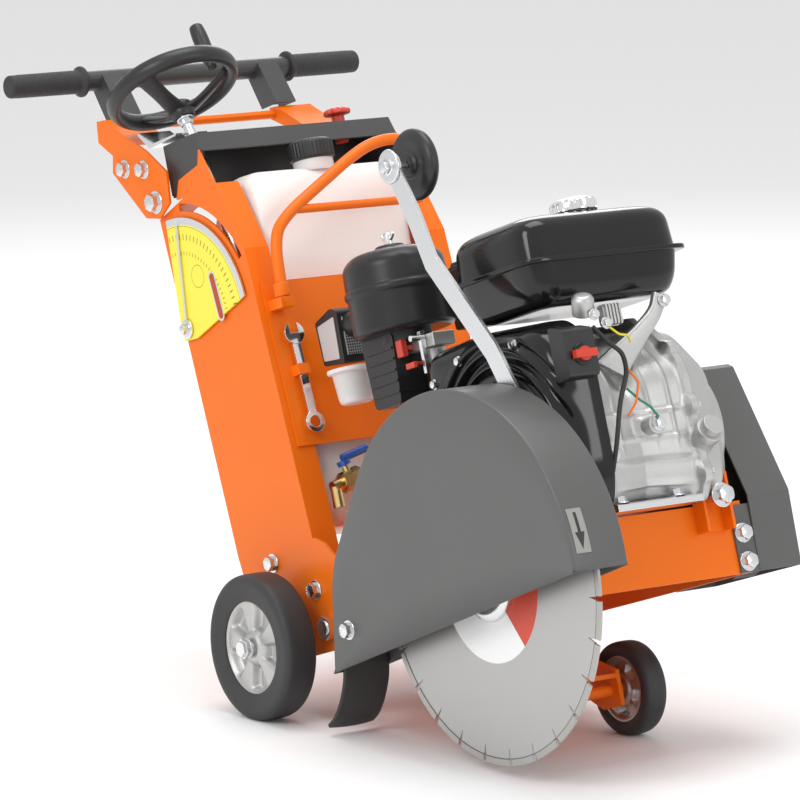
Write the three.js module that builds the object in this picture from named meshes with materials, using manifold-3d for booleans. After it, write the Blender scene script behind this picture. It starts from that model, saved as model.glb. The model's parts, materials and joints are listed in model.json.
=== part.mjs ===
// Walk-behind concrete saw, millimetres, +Z up, +X forwards, +Y to the machine's left.
// Everything is placed in the frame of the chassis, whose origin is the centre of the rear axle;
// the last group tilts the chassis nose up, as it stands on its lowered front wheels.
import * as THREE from 'three';
import { mergeVertices } from 'three/addons/utils/BufferGeometryUtils.js';
import Module from 'manifold-3d';

const wasm = await Module();
wasm.setup();

// ---- driving dimensions ----
const tiltDegrees = 17.5;
const gap = 0.3;
const rearWheel = { radius: 95, rim: 66, width: 48, y: 217 };
const frontWheel = { radius: 60, rim: 46, width: 36, y: 97, x: 340, z: -144 };
const rearAxleRadius = 10;
const axlePivot = { x: 85, z: 5, radius: 11 };
const chassis = {
  rear: -75, front: 548, top: 55, bottom: -36, sheet: 4, left: 165, right: -129, rightRear: -164, jog: 140,
};
const bed = { rear: 345, right: -60, left: 64, top: 24 };
const column = { outer: 160, width: 38, sheet: 3 };
const shaft = { x: 470, z: 4, radius: 12.5 };
const blade = { y: -177, radius: 225, core: 218, thickness: 3, segments: 26, arbor: 12.5 };
const guard = { x: 462, z: 4, radius: 243, outer: -219, inner: -139, sheet: 2.5 };
const beltGuard = { inner: 174, outer: 240, wrap: 145, sheet: 2.5 };
const engine = { x: 465, z: 157, base: 24.5, recoilFace: -124, outputFace: 165 };
const enginePulley = { radius: 28, y: 206, width: 40 };
const bladePulley = { radius: 35, y: 206, width: 40 };
const tank = { x0: 385, x1: 572, y0: -100, y1: 145, bottom: 323, seam: 379, top: 441 };
const handwheel = { x: -75, y: -140, z: 722, radius: 92, dish: 37, leanDegrees: 20 };
const columnLeanDegrees = 4.7;
const handlebar = { x: -268, z: 811, half: 282, tube: 14, grip: 16, gripLength: 118, arm: 126 };
const handlePivot = { x: -135, z: 614 };
const depthScale = { x: -119, z: 438, radius: 148 };
const pointerPivot = { x: 585, z: 90 };
const pointerHub = { x: 368, z: 546 };

// ---- helpers: closed geometries and the solids made from them ----
function welded(geometry) {
  geometry.deleteAttribute('normal');
  geometry.deleteAttribute('uv');
  return mergeVertices(geometry, 1e-4);
}

function solid(geometry) {
  const vertProperties = new Float32Array(geometry.attributes.position.array);
  const triVerts = new Uint32Array(geometry.index.array);
  return new wasm.Manifold(new wasm.Mesh({ numProp: 3, vertProperties, triVerts }));
}

function geometryOf(manifold) {
  const mesh = manifold.getMesh();
  const geometry = new THREE.BufferGeometry();
  geometry.setAttribute('position', new THREE.BufferAttribute(new Float32Array(mesh.vertProperties), 3));
  geometry.setIndex(new THREE.BufferAttribute(new Uint32Array(mesh.triVerts), 1));
  return geometry;
}

function join(...pieces) {
  return geometryOf(pieces.map(solid).reduce((whole, piece) => whole.add(piece)));
}

function cut(body, ...tools) {
  return geometryOf(tools.map(solid).reduce((whole, tool) => whole.subtract(tool), solid(body)));
}

function box(x0, x1, y0, y1, z0, z1) {
  const geometry = welded(new THREE.BoxGeometry(x1 - x0, y1 - y0, z1 - z0));
  return geometry.translate((x0 + x1) / 2, (y0 + y1) / 2, (z0 + z1) / 2);
}

function rod(from, to, radius, sides = 16, endRadius = radius) {
  const start = new THREE.Vector3(...from);
  const direction = new THREE.Vector3(...to).sub(start);
  const length = direction.length();
  const geometry = welded(new THREE.CylinderGeometry(endRadius, radius, length, sides));
  geometry.translate(0, length / 2, 0);
  const turn = new THREE.Quaternion().setFromUnitVectors(new THREE.Vector3(0, 1, 0), direction.normalize());
  return geometry.applyQuaternion(turn).translate(...from);
}

function rodY(x, z, y0, y1, radius, sides = 16) {
  return rod([x, y0, z], [x, y1, z], radius, sides);
}

function rodZ(x, y, z0, z1, radius, sides = 16, endRadius = radius) {
  return rod([x, y, z0], [x, y, z1], radius, sides, endRadius);
}

// a profile of [radius, height] points turned about the line through (x, y, z) along an axis
function turned(profile, axis, at, sides = 24) {
  const geometry = welded(new THREE.LatheGeometry(profile.map(([r, h]) => new THREE.Vector2(r, h)), sides));
  const upright = new THREE.Vector3(0, 1, 0);
  const turn = new THREE.Quaternion().setFromUnitVectors(upright, axis.clone().normalize());
  return geometry.applyQuaternion(turn).translate(...at);
}

const alongY = new THREE.Vector3(0, 1, 0);
const alongZ = new THREE.Vector3(0, 0, 1);

// an outline in X and Z with its thickness along Y
function plateY(outline, y0, y1, holes = [], curveSegments = 12) {
  const shape = outline instanceof THREE.Shape ? outline : outlineOf(outline);
  holes.forEach(([x, z, radius]) => shape.holes.push(circlePath(x, z, radius)));
  const options = { depth: y1 - y0, bevelEnabled: false, curveSegments };
  const geometry = welded(new THREE.ExtrudeGeometry(shape, options));
  return geometry.rotateX(Math.PI / 2).translate(0, y1, 0);
}

// an outline in X and Y with its thickness along Z
function plateZ(outline, z0, z1) {
  const shape = outline instanceof THREE.Shape ? outline : outlineOf(outline);
  const options = { depth: z1 - z0, bevelEnabled: false, curveSegments: 4 };
  const geometry = welded(new THREE.ExtrudeGeometry(shape, options));
  return geometry.translate(0, 0, z0);
}

function outlineOf(points) {
  return new THREE.Shape(points.map(([x, z]) => new THREE.Vector2(x, z)));
}

function circlePath(x, z, radius) {
  return new THREE.Path().absarc(x, z, radius, 0, Math.PI * 2, true);
}

function roundedRectangle(x0, x1, z0, z1, radius) {
  const shape = new THREE.Shape();
  shape.moveTo(x0 + radius, z0);
  shape.lineTo(x1 - radius, z0);
  shape.absarc(x1 - radius, z0 + radius, radius, -Math.PI / 2, 0, false);
  shape.absarc(x1 - radius, z1 - radius, radius, 0, Math.PI / 2, false);
  shape.absarc(x0 + radius, z1 - radius, radius, Math.PI / 2, Math.PI, false);
  shape.absarc(x0 + radius, z0 + radius, radius, Math.PI, Math.PI * 1.5, false);
  return shape;
}

// a round tube along a curve through the given points
function tube(points, radius, sides, steps) {
  const stops = points.map((p) => new THREE.Vector3(...p));
  const curve = new THREE.CatmullRomCurve3(stops, false, 'catmullrom', 0.4);
  const section = new THREE.Shape();
  for (let i = 0; i < sides; i += 1) {
    const angle = (i / sides) * Math.PI * 2;
    const method = i === 0 ? 'moveTo' : 'lineTo';
    section[method](radius * Math.cos(angle), radius * Math.sin(angle));
  }
  return welded(new THREE.ExtrudeGeometry(section, { steps, extrudePath: curve, bevelEnabled: false }));
}

function tilted(geometry, degrees, x, z) {
  return geometry.translate(-x, 0, -z).rotateY(THREE.MathUtils.degToRad(-degrees)).translate(x, 0, z);
}

// a hexagon bolt head standing out from a face at y, on the side given by its sign
function boltHead(x, z, y, radius = 8) {
  const out = y + Math.sign(y) * 6;
  const under = y - Math.sign(y) * 1;
  return rodY(x, z, Math.min(out, under), Math.max(out, under), radius, 6);
}

const machine = new THREE.Group();

function add(name, geometry, material) {
  const mesh = new THREE.Mesh(geometry, material);
  mesh.name = name;
  machine.add(mesh);
}

// ---- finishes ----
function finish(color, roughness, metalness) {
  return () => new THREE.MeshStandardMaterial({ color, roughness, metalness });
}
const orangePaint = finish(0xf26a0a, 0.42, 0.1);
const greyPaint = finish(0x55565a, 0.5, 0.3);
const blackPaint = finish(0x121213, 0.25, 0.2);
const zinc = finish(0xb9bdc2, 0.35, 0.9);
const aluminium = finish(0xa9abad, 0.5, 0.85);
const blackPlastic = finish(0x1b1b1c, 0.55, 0);
const rubber = finish(0x151515, 0.85, 0);
const whitePlastic = finish(0xf1ece8, 0.45, 0);
const yellowPlastic = finish(0xf0dc3c, 0.5, 0);
const redPlastic = finish(0xc8201a, 0.4, 0);
const bluePlastic = finish(0x1f5fae, 0.45, 0);
const brass = finish(0xb8963e, 0.4, 0.9);
const bladeSteel = finish(0xc4c6c8, 0.3, 0.9);
const beltRubber = finish(0x101010, 0.8, 0);

// ---- chassis: welded sheet box, open underneath, stepped in on the blade side ----
function chassisFrame() {
  const { rear, front, top, bottom, sheet, left, right, rightRear, jog } = chassis;
  const lug = [
    [rear, -25], [jog, -25], [jog, 75], [105, 112], [85, 122], [-40, 122], [-58, 108], [rear, 70],
  ];
  const frontSide = [
    [jog - sheet, bottom], [front, bottom], [front, 30], [pointerPivot.x + 14, 70],
    [pointerPivot.x + 14, 106], [pointerPivot.x - 14, 106], [front - 30, top], [jog - sheet, top],
  ];
  const sides = [
    plateY(lug, rightRear, rightRear + sheet),
    plateY([[rear, -25], [jog, -25], [jog, bottom], [front, bottom], [front, top], [jog, top], [105, 112],
      [85, 122], [-40, 122], [-58, 108], [rear, 70]], left - sheet, left),
    plateY(frontSide, right, right + sheet),
  ];
  const crossSheets = [
    box(jog - sheet, jog, rightRear, right + sheet, -25, top),
    box(front - sheet, front, right, left, bottom, top),
    box(rear, bed.rear, right, left, top - sheet, top),
    box(rear, front, right, bed.right, top - sheet, top), box(rear, front, bed.left, left, top - sheet, top),
    box(bed.rear, front, bed.right, bed.left, bed.top - sheet, bed.top),
    box(bed.rear, front, bed.right, bed.right + sheet, bed.top - sheet, top),
    box(bed.rear, front, bed.left - sheet, bed.left, bed.top - sheet, top),
    box(bed.rear, bed.rear + sheet, bed.right, bed.left, bed.top - sheet, top),
    box(rear, jog, rightRear, right + 1, top - sheet, top),
    box(rear, rear + sheet, rightRear, left, 0, top),
  ];
  const tensionBracket = [
    box(front, front + 22, 92, 96, 20, 92), box(front, front + 22, 132, 136, 20, 92),
    box(front - 1, front + 3, 92, 136, 20, 92),
  ];
  const bores = [
    rodY(0, 0, -200, 200, rearAxleRadius + gap),
    rodY(axlePivot.x, axlePivot.z, -200, 200, axlePivot.radius + gap),
    rodY(shaft.x, shaft.z, -200, 200, 34),
    rodY(pointerPivot.x, pointerPivot.z, -160, -100, 6 + gap),
    box(-2, 56, -159, -122, 45, 60),
  ];
  const columnBolts = [rightRear, left].flatMap((y) => [boltHead(67, 57, y), boltHead(-21, 106, y)]);
  const tensionScrew = [
    rod([front - 2, 114, 62], [front + 42, 114, 62], 6, 12),
    rod([front + 26, 114, 62], [front + 33, 114, 62], 11, 6),
  ];
  const sheets = cut(join(...sides, ...crossSheets, ...tensionBracket), ...bores);
  return join(sheets, ...columnBolts, ...tensionScrew);
}
add('chassis_frame', chassisFrame(), orangePaint());

// ---- columns: bent channels, open to the inside, leaning back ----
const columnOutline = [
  [-97, 58], [74, 58], [76, 96], [42, 513], [-1, 612], [-60, 612], [-147, 592], [-109, 126],
];
function inset(points, distance) {
  const centre = [-40, 330];
  return points.map(([x, z]) => {
    const towards = new THREE.Vector2(centre[0] - x, centre[1] - z);
    return [x + Math.sign(towards.x) * distance, z + Math.sign(towards.y) * distance];
  });
}
const columnTip = [[-1.6, 608], [-1.6, 612], [-24, 660], [-32, 641], [-84, 632], [-98, 608]];
function columnSolid(side) {
  const { outer, width, sheet } = column;
  const span = (a, b) => (side < 0 ? [-b, -a] : [a, b]);
  const tip = plateY(columnTip, ...span(outer - sheet - gap, outer - gap));
  const body = join(plateY(columnOutline, ...span(outer - width, outer - gap)), tip);
  const hollow = plateY(inset(columnOutline, sheet), ...span(outer - width - 5, outer - sheet - gap));
  const openEnds = box(-50, 0, ...span(outer - width - 5, outer - sheet - gap), 590, 640);
  const foot = box(-20, 60, ...span(outer - width - 5, outer - sheet - gap), 50, 70);
  return [body, hollow, openEnds, foot];
}
function rightColumn() {
  const [body, hollow, openEnds, foot] = columnSolid(-1);
  const slot = new THREE.Shape();
  slot.absarc(depthScale.x, depthScale.z, 166, 0.42, 1.42, false);
  slot.absarc(depthScale.x, depthScale.z, 156, 1.42, 0.42, true);
  return cut(body, hollow, openEnds, foot, plateY(slot, -170, -150, [], 16),
    rodY(depthScale.x, depthScale.z, -170, -150, 5 + gap));
}
function leftColumn() {
  const [body, hollow, openEnds, foot] = columnSolid(1);
  return cut(body, hollow, openEnds, foot);
}
add('column_right', rightColumn(), orangePaint());
add('column_left', leftColumn(), orangePaint());

// spring clip on the panel, closed round the spanner's shank
function spannerClip() {
  return cut(tilted(box(58, 77, -133, -115, 336, 350), columnLeanDegrees, 67, 330),
    tilted(box(66.2, 74, -131, -117, 300, 380), columnLeanDegrees, 67, 330));
}

// panel that ties the columns together in front of the water tank
function crossPanel() {
  const lean = (z) => 57.4 - (z - 330) * Math.tan(THREE.MathUtils.degToRad(4.66));
  const outline = [[lean(244), 244], [lean(465), 465], [lean(465) + 3, 465], [lean(244) + 3, 244]];
  const lips = [[lean(465) - 14, 462], [lean(465) + 3, 462], [lean(465) + 3, 465], [lean(465) - 14, 465]];
  const gateLug = box(lean(432) + 1, 83, -145, -124, 425, 439);
  return join(plateY(outline, -150, 150), plateY(lips, -119, 119), spannerClip(), gateLug);
}
add('cross_panel', crossPanel(), orangePaint());

// folded sheet console across the column tops
function consoleBeam() {
  const section = [
    [-112, 616], [-109, 616], [-109, 681], [-34, 681], [-23, 657], [-20, 658], [-32, 684], [-112, 684],
  ];
  const end = [[-110, 617], [-28, 617], [-22, 658], [-33, 682], [-110, 682]];
  const ends = [plateY(end, -156, -153), plateY(end, 153, 156)];
  const seats = [
    box(-111, -48, -155, -122, 613, 617), box(-111, -48, 122, 155, 613, 617),
  ];
  return cut(join(plateY(section, -156, 156), ...ends, ...seats), rodZ(-62, 95, 650, 700, 11),
    rod([-36, -140, 612], [-95, -140, 776], 12));
}
add('console_beam', consoleBeam(), greyPaint());

// ---- water system ----
function waterTank() {
  const lean = Math.tan(THREE.MathUtils.degToRad(columnLeanDegrees));
  const profile = [
    [-86, 136], [40, 136], [52, 150], [52 - 290 * lean, 440], [30, 590], [20, 618], [-66, 622], [-104, 560],
    [-104, 440],
  ];
  return join(plateY(profile, -116, 116), rodZ(0, 0, 610, 628, 27, 20));
}
add('water_tank', waterTank(), whitePlastic());
add('water_cap', rodZ(0, 0, 628 + gap, 655, 31, 24), blackPlastic());

function waterValve() {
  return join(
    rod([72, -112, 184], [72, -56, 200], 9, 16), rod([72, -98, 188], [72, -68, 196.5], 14, 6),
    rod([72, -83, 192], [72, -88, 211], 5, 12), rod([72, -108, 185], [72, -108, 158], 8, 16),
    rod([72, -61, 198.5], [56, -61, 198.5], 7, 16),
  );
}
add('water_valve', waterValve(), brass());
function tiltedLever() {
  return join(rod([72, -88.2, 211.8], [72, -89.9, 218], 9, 12), rod([72, -90, 221], [72, -50, 231], 5.5, 12));
}
add('water_valve_lever', tiltedLever(), bluePlastic());

// ---- stop button on the console ----
add('stop_button', turned([[0, -34], [9, -34], [9, 3], [19, 5], [19, 11], [12, 14], [0, 14]], alongZ,
  [-62, 95, 693]), redPlastic());

// ---- handle: orange brackets that pivot on the columns, grey arms and tube, two grips ----
const bracketOutline = [
  [-246, 750], [-251, 722], [-221, 697], [-229, 675], [-166, 599], [-133, 591], [-103, 606], [-97, 647],
  [-137, 684], [-228, 748],
];
function handleBracket() {
  const plates = [plateY(bracketOutline, 164.6, 168), plateY(bracketOutline, -168, -164.6)];
  const strip = [[-246, 750], [-249, 735], [-190, 703], [-172, 709], [-228, 748]];
  const bridges = [plateY(strip, -168, -112), plateY(strip, 112, 168)];
  const tie = rodY(-238, 739, -166, 166, 6, 12);
  const heads = [-168, 168].flatMap((y) => [
    boltHead(handlePivot.x, handlePivot.z, y, 10), boltHead(-196, 673, y), boltHead(-150, 662, y),
  ]);
  return join(...plates, ...bridges, tie, ...heads);
}
function handleBar() {
  const { x, z, half, tube: tubeRadius, arm } = handlebar;
  const armOutline = [[x - 15, z - 8], [-262, 752], [-222, 752], [x + 17, z + 4]];
  const arms = [-arm, arm].map((y) => cut(plateY(armOutline, y - 16, y + 16),
    plateY([[x - 10, z - 20], [-262, 740], [-230, 740], [x + 8, z - 14]], y - 13, y + 13)));
  return join(rodY(x, z, -half + 4, half - 4, tubeRadius), ...arms);
}
add('handle_bracket', handleBracket(), orangePaint());
add('handlebar', handleBar(), greyPaint());
function grip(side) {
  const { x, z, half, tube: tubeRadius, grip: gripRadius, gripLength } = handlebar;
  const inner = tubeRadius + gap;
  const profile = [
    [0, 0], [gripRadius, 0], [gripRadius, gripLength - 8], [gripRadius + 6, gripLength - 6],
    [gripRadius + 6, gripLength], [inner, gripLength], [inner, 4 - gap], [0, 4 - gap],
  ];
  const axis = alongY.clone().multiplyScalar(-side);
  return turned(profile, axis, [x, side * half, z], 24);
}
add('grip_right', grip(-1), rubber());
add('grip_left', grip(1), rubber());

// ---- depth control: handwheel, screw and lift rod in the right column ----
const leanRadians = THREE.MathUtils.degToRad(handwheel.leanDegrees);
const wheelAxis = new THREE.Vector3(-Math.sin(leanRadians), 0, Math.cos(leanRadians));
function alongWheelAxis(distance) {
  return [handwheel.x + wheelAxis.x * distance, handwheel.y, handwheel.z + wheelAxis.z * distance];
}
function handwheelSolid() {
  const { radius, dish } = handwheel;
  const rim = turned([
    [radius - 17, dish - 8], [radius - 3, dish - 12], [radius, dish - 6], [radius, dish + 8],
    [radius - 6, dish + 12], [radius - 15, dish + 10], [radius - 17, dish - 8],
  ], wheelAxis, alongWheelAxis(0), 24);
  const hub = turned([[0, -12], [15, -12], [17, 10], [12, 14], [0, 14]], wheelAxis, alongWheelAxis(0), 16);
  const across = new THREE.Vector3(Math.cos(leanRadians), 0, Math.sin(leanRadians));
  const spokes = [90, 210, 330].map((degrees) => {
    const angle = THREE.MathUtils.degToRad(degrees - 30);
    const out = across.clone().multiplyScalar(Math.cos(angle)).addScaledVector(alongY, Math.sin(angle));
    const start = new THREE.Vector3(...alongWheelAxis(0)).addScaledVector(out, 8);
    const end = new THREE.Vector3(...alongWheelAxis(dish)).addScaledVector(out, radius - 10);
    return rod(start.toArray(), end.toArray(), 9, 8, 7);
  });
  return join(rim, hub, ...spokes, rod(alongWheelAxis(0), alongWheelAxis(-112), 7, 16));
}
add('handwheel', handwheelSolid(), blackPlastic());
function knobAt(distance) {
  const across = new THREE.Vector3(Math.cos(leanRadians), 0, Math.sin(leanRadians));
  const place = new THREE.Vector3(...alongWheelAxis(distance));
  return place.addScaledVector(across, 30).addScaledVector(alongY, 51.96).toArray();
}
add('handwheel_knob', turned([[0, 0], [7, 0], [8, 4], [11, 22], [11, 62], [9, 68], [0, 68]], wheelAxis,
  knobAt(handwheel.dish + 9), 16), blackPlastic());

function screwX(z) {
  return 30 - (z - 50) * Math.tan(THREE.MathUtils.degToRad(columnLeanDegrees));
}
const screwY = handwheel.y;
add('depth_screw', join(
  rod([screwX(540), screwY, 540], [screwX(606), screwY, 606], 7, 16),
  rod([screwX(590), screwY, 590], [screwX(604), screwY, 604], 11, 16),
), zinc());
function liftRod() {
  const sleeve = cut(rod([screwX(505), screwY, 505], [screwX(560), screwY, 560], 12, 16),
    rod([screwX(506), screwY, 506], [screwX(570), screwY, 570], 8, 16));
  const bar = rod([screwX(66), screwY, 66], [screwX(506), screwY, 506], 6, 12);
  const foot = plateY([[3.5, 41], [40, 41], [40, 63], [34, 68], [22, 68], [3.5, 63]], screwY - 6, screwY + 6);
  const pinSlot = plateY(roundedRectangle(6.4, 36.8, 43.4, 58.6, 7), screwY - 10, screwY + 10);
  return join(sleeve, bar, cut(foot, pinSlot));
}
add('lift_rod', liftRod(), zinc());
function spindleBracket() {
  const plate = [[-130, 686], [-118, 686], [-62, 688], [-60, 691], [-122, 691], [-150, 712], [-154, 709]];
  return cut(plateY(plate, -166, -116), rod([-36, -140, 612], [-95, -140, 776], 9, 20));
}
add('spindle_bracket', spindleBracket(), zinc());

function depthScalePlate() {
  const { x, z, radius } = depthScale;
  const sector = new THREE.Shape();
  sector.moveTo(x - 14, z - 14);
  sector.lineTo(x + 16, z - 16);
  sector.absarc(x, z, radius, 0.1, 1.62, false);
  sector.lineTo(x - 16, z + 10);
  return plateY(sector, -164.5, -161.5, [[x, z, 5 + gap]], 24);
}
add('depth_scale', depthScalePlate(), yellowPlastic());
function depthPointer() {
  const { x, z, radius } = depthScale;
  const needle = [
    [x - 7, z], [x + 8, z - 4], [x + 34, z + radius - 20], [x + 28, z + radius - 8],
    [x + 20, z + radius - 18],
  ];
  const disc = rodY(x, z, -168.4, -166, 11);
  return join(plateY(needle, -167.8, -166.4), disc, rodY(x, z, -168.4, -157.5, 5, 16));
}
add('depth_pointer', depthPointer(), zinc());

// ---- bow that holds the water tank, hinged on the right column ----
function tankGate() {
  const pipe = tube([
    [72, -134, 440], [72, -131, 480], [74, -127, 520], [75, -110, 543], [75, -62, 566], [75, 10, 612],
    [75, 50, 630], [75, 84, 632], [75, 100, 618], [75, 102, 585], [75, 102, 546],
  ], 8, 8, 20);
  const rung = rod([75, -84, 551], [75, 103, 551], 6, 12);
  const collar = rodZ(72, -134, 440, 458, 11, 12);
  return join(pipe, rung, collar);
}
add('tank_gate', tankGate(), orangePaint());

// ---- front pointer: flat bar folded back over the engine, with its roller ----
function stripAlong(points, width, y0, y1) {
  const left = [];
  const right = [];
  points.forEach(([x, z], i) => {
    const before = points[Math.max(i - 1, 0)];
    const after = points[Math.min(i + 1, points.length - 1)];
    const along = new THREE.Vector2(after[0] - before[0], after[1] - before[1]).normalize();
    left.push([x - (along.y * width) / 2, z + (along.x * width) / 2]);
    right.unshift([x + (along.y * width) / 2, z - (along.x * width) / 2]);
  });
  return plateY([...left, ...right], y0, y1);
}
function pointerArm() {
  const bar = stripAlong([
    [pointerPivot.x + 4, pointerPivot.z - 8], [525, 238], [505, 283], [414, 414], [397, 472],
    [pointerHub.x, pointerHub.z],
  ], 28, -136, -131);
  const ends = [
    rodY(pointerPivot.x, pointerPivot.z, -136, -131, 16), rodY(pointerHub.x, pointerHub.z, -140, -131, 18),
    rodY(pointerPivot.x, pointerPivot.z, -138, -118, 6, 16),
    rodY(pointerHub.x, pointerHub.z, -144, -80, 5, 16),
    rodY(pointerHub.x, pointerHub.z, -144, -140, 9, 6),
    rodY(pointerPivot.x, pointerPivot.z, -124.4, -118, 10, 6),
  ];
  return join(bar, ...ends);
}
add('pointer_arm', pointerArm(), zinc());
add('pointer_wheel', turned([
  [5 + gap, -14], [14, -14], [16, -10], [37, -11], [45.5, -5], [46.5, 3], [41, 9], [32, 12], [14, 12],
  [5 + gap, 12], [5 + gap, -14],
], alongY, [pointerHub.x, -98, pointerHub.z], 28), rubber());

// ---- spanner kept on the cross panel ----
function spannerSolid() {
  const x0 = 66.5;
  const ring = rod([x0, -124, 272], [x0 + 7, -124, 272], 14, 20);
  const handle = box(x0 + 1, x0 + 6, -130, -118, 272, 388);
  const head = rod([x0, -124, 392], [x0 + 7, -124, 392], 15, 20);
  return cut(join(ring, handle, head), rod([x0 - 5, -124, 272], [x0 + 15, -124, 272], 8, 12),
    box(x0 - 5, x0 + 15, -130.5, -117.5, 392, 420));
}
add('spanner', tilted(spannerSolid(), columnLeanDegrees, 67, 330), zinc());

// ---- engine ----
function crankcase() {
  const { x, z, base, outputFace } = engine;
  const body = plateY([
    [x - 105, 58], [x + 112, 58], [x + 125, 100], [x + 118, 230], [x + 60, 290], [x - 60, 306],
    [x - 105, 286],
  ], -52, outputFace - 26);
  const foot = box(x - 100, x + 72, -52, 55, base, 60);
  const cover = rodY(x, z, outputFace - 30, outputFace, 88, 28);
  const ribs = [70, 112, 154, 196].map((height) => box(x + 100, x + 128, -46, 130, height, height + 6));
  const filler = rod([x + 112, 96, 128], [x + 140, 96, 142], 15, 16);
  return cut(join(body, foot, cover, ...ribs, filler), rodY(x, z, -60, outputFace + 5, 14),
    box(x + 80, x + 140, 91, 145, 50, 96),
    rod([x + 126, 96, 135], [x + 146, 96, 145], 9, 16));
}
add('crankcase', crankcase(), aluminium());

function cylinderHead() {
  const { x, z } = engine;
  const barrel = box(x - 245, x - 90, -38, 112, z - 48, z + 62);
  const finAt = [0, 16, 32, 48, 64, 80];
  const fins = finAt.map((dx) => box(x - 215 + dx, x - 210 + dx, -48, 122, z - 58, z + 72));
  const rocker = box(x - 268, x - 244, -18, 92, z - 34, z + 48);
  const whole = tilted(join(barrel, ...fins, rocker), -20, x, z);
  return cut(whole, box(x - 105.5, x + 200, -200, 200, 0, 400));
}
add('cylinder_head', cylinderHead(), aluminium());

function fanCover() {
  const { x, z } = engine;
  const outline = new THREE.Shape();
  outline.moveTo(x + 118, 60);
  outline.lineTo(x + 136, 110);
  outline.lineTo(x + 136, 262);
  outline.lineTo(x + 104, 304);
  outline.lineTo(x - 60, 318);
  outline.lineTo(x - 150, 314);
  outline.lineTo(x - 152, 240);
  outline.absarc(x, z, 142, Math.PI * 0.86, Math.PI * 1.24, false);
  const shell = plateY(outline, -112, -56, [], 16);
  const controlBox = box(x + 130, x + 154, -104, -64, 226, 284);
  return cut(join(shell, controlBox), rodY(x, z, -100, -50, 92, 28), rodY(x, z, -120, -50, 82, 28),
    rod([x + 146, -84, 252], [x + 160, -84, 252], 9 + gap, 20));
}
add('fan_cover', fanCover(), blackPaint());

function recoilCover() {
  const { x, z, recoilFace } = engine;
  const face = turned([
    [0, 0], [60, 0], [86, 3], [101, 11], [101, 11.7], [93, 11.7], [82, 7], [58, 4], [0, 4],
  ], alongY, [x, recoilFace, z], 28);
  const slots = [];
  const slotCount = 12;
  for (let i = 0; i < slotCount; i += 1) {
    const slot = box(x + 64, x + 88, recoilFace - 5, recoilFace + 20, z - 2.2, z + 2.2);
    slot.translate(-x, 0, -z).rotateY((i / slotCount) * Math.PI * 2).translate(x, 0, z);
    slots.push(slot);
  }
  return cut(face, ...slots);
}
add('recoil_cover', recoilCover(), blackPlastic());
add('recoil_handle', join(
  box(366, 398, -135, -125.6, 206, 218),
  rodZ(382, -130, 198, 206.5, 4, 12),
), blackPlastic());
add('flywheel', join(turned([
  [0, -98], [50, -98], [78, -92], [78, -60], [0, -60],
], alongY, [engine.x, 0, engine.z], 32), rodY(engine.x, engine.z, -62, 226, 12.5, 24)), aluminium());

function fuelTank() {
  const { x0, x1, y0, y1, bottom, seam, top } = tank;
  const lower = plateZ(roundedRectangle(x0 + 5, x1 - 5, y0 + 5, y1 - 5, 26), bottom, seam - 2);
  const flange = plateZ(roundedRectangle(x0 - 5, x1 + 5, y0 - 5, y1 + 5, 30), seam - 3, seam + 3);
  const upper = plateZ(roundedRectangle(x0 + 2, x1 - 2, y0 + 2, y1 - 2, 26), seam + 2, top - 8);
  const crown = plateZ(roundedRectangle(x0 + 12, x1 - 12, y0 + 12, y1 - 12, 22), top - 9, top);
  const neck = rodZ(492, 40, top - 1, top + 8, 24, 20);
  const feet = [
    box(420, 440, -40, 60, bottom - 8, bottom + 1), box(520, 545, -40, 60, bottom - 18, bottom + 1),
  ];
  return join(lower, flange, upper, crown, neck, ...feet);
}
add('fuel_tank', fuelTank(), blackPaint());
function fuelCap() {
  const profile = [[0, 2], [28, 2], [31, 5], [31, 18], [26, 23], [0, 25]];
  const neck = rodZ(492, 40, tank.top - 1, tank.top + 9, 24 + gap, 24);
  return cut(turned(profile, alongZ, [492, 40, tank.top], 24), neck);
}
add('fuel_cap', fuelCap(), zinc());

function airCleaner() {
  const drum = turned([
    [0, 352], [66, 352], [69, 360], [69, 446], [58, 458], [16, 464], [16, 468], [0, 468],
  ], alongZ, [246, -75, 0], 24);
  const wing = join(rodZ(246, -75, 467, 476, 6, 12), box(232, 260, -77, -73, 469, 482));
  const inlet = rod([246, -75, 340], [246, -75, 353], 34, 16);
  const cyclone = turned([[0, 332 + gap], [32, 332 + gap], [32, 372], [24, 380], [0, 380]], alongZ,
    [118, -84, 0], 20);
  const duct = rod([136, -83, 362], [190, -80, 372], 15, 16);
  return join(drum, wing, inlet, cyclone, duct);
}
add('air_cleaner', airCleaner(), blackPaint());
add('dust_bowl', turned([[0, 282], [26, 284], [31, 292], [33, 322], [36, 326], [36, 332], [0, 332]], alongZ,
  [118, -84, 0], 20), whitePlastic());
add('carburettor', join(box(236, 322, -88, -54, 322, 339.5), rodZ(292, -71, 298, 330, 16, 16)), aluminium());
add('muffler', join(box(205, 330, 30, 150, 352, 432), box(211, 324, 36, 144, 431, 440)), blackPaint());
add('throttle_lever', join(
  box(300, 306, -96, -88.5, 290, 344),
  rod([303, -88.5, 336], [303, -110, 336], 4, 12),
), zinc());
add('choke_lever', join(
  box(268, 274, -100, -88.4, 326, 332),
  box(262, 276, -106, -98, 318, 340),
), redPlastic());
add('fuel_lever', join(
  box(286, 290, -101, -88.4, 304, 308),
  box(276, 296, -106, -100, 300, 308),
), redPlastic());
function engineSwitch() {
  const face = engine.x + 154;
  return join(rod([face - 7.7, -84, 252], [face + 8, -84, 252], 9, 20),
    box(face + 2, face + 11, -100, -68, 247, 257));
}
add('engine_switch', engineSwitch(), redPlastic());
add('oil_dipstick', join(
  rod([594, 96, 136.7], [612, 96, 145.7], 8.4, 12),
  rod([606, 96, 142.7], [616, 96, 147.7], 14, 16),
), blackPlastic());

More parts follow.
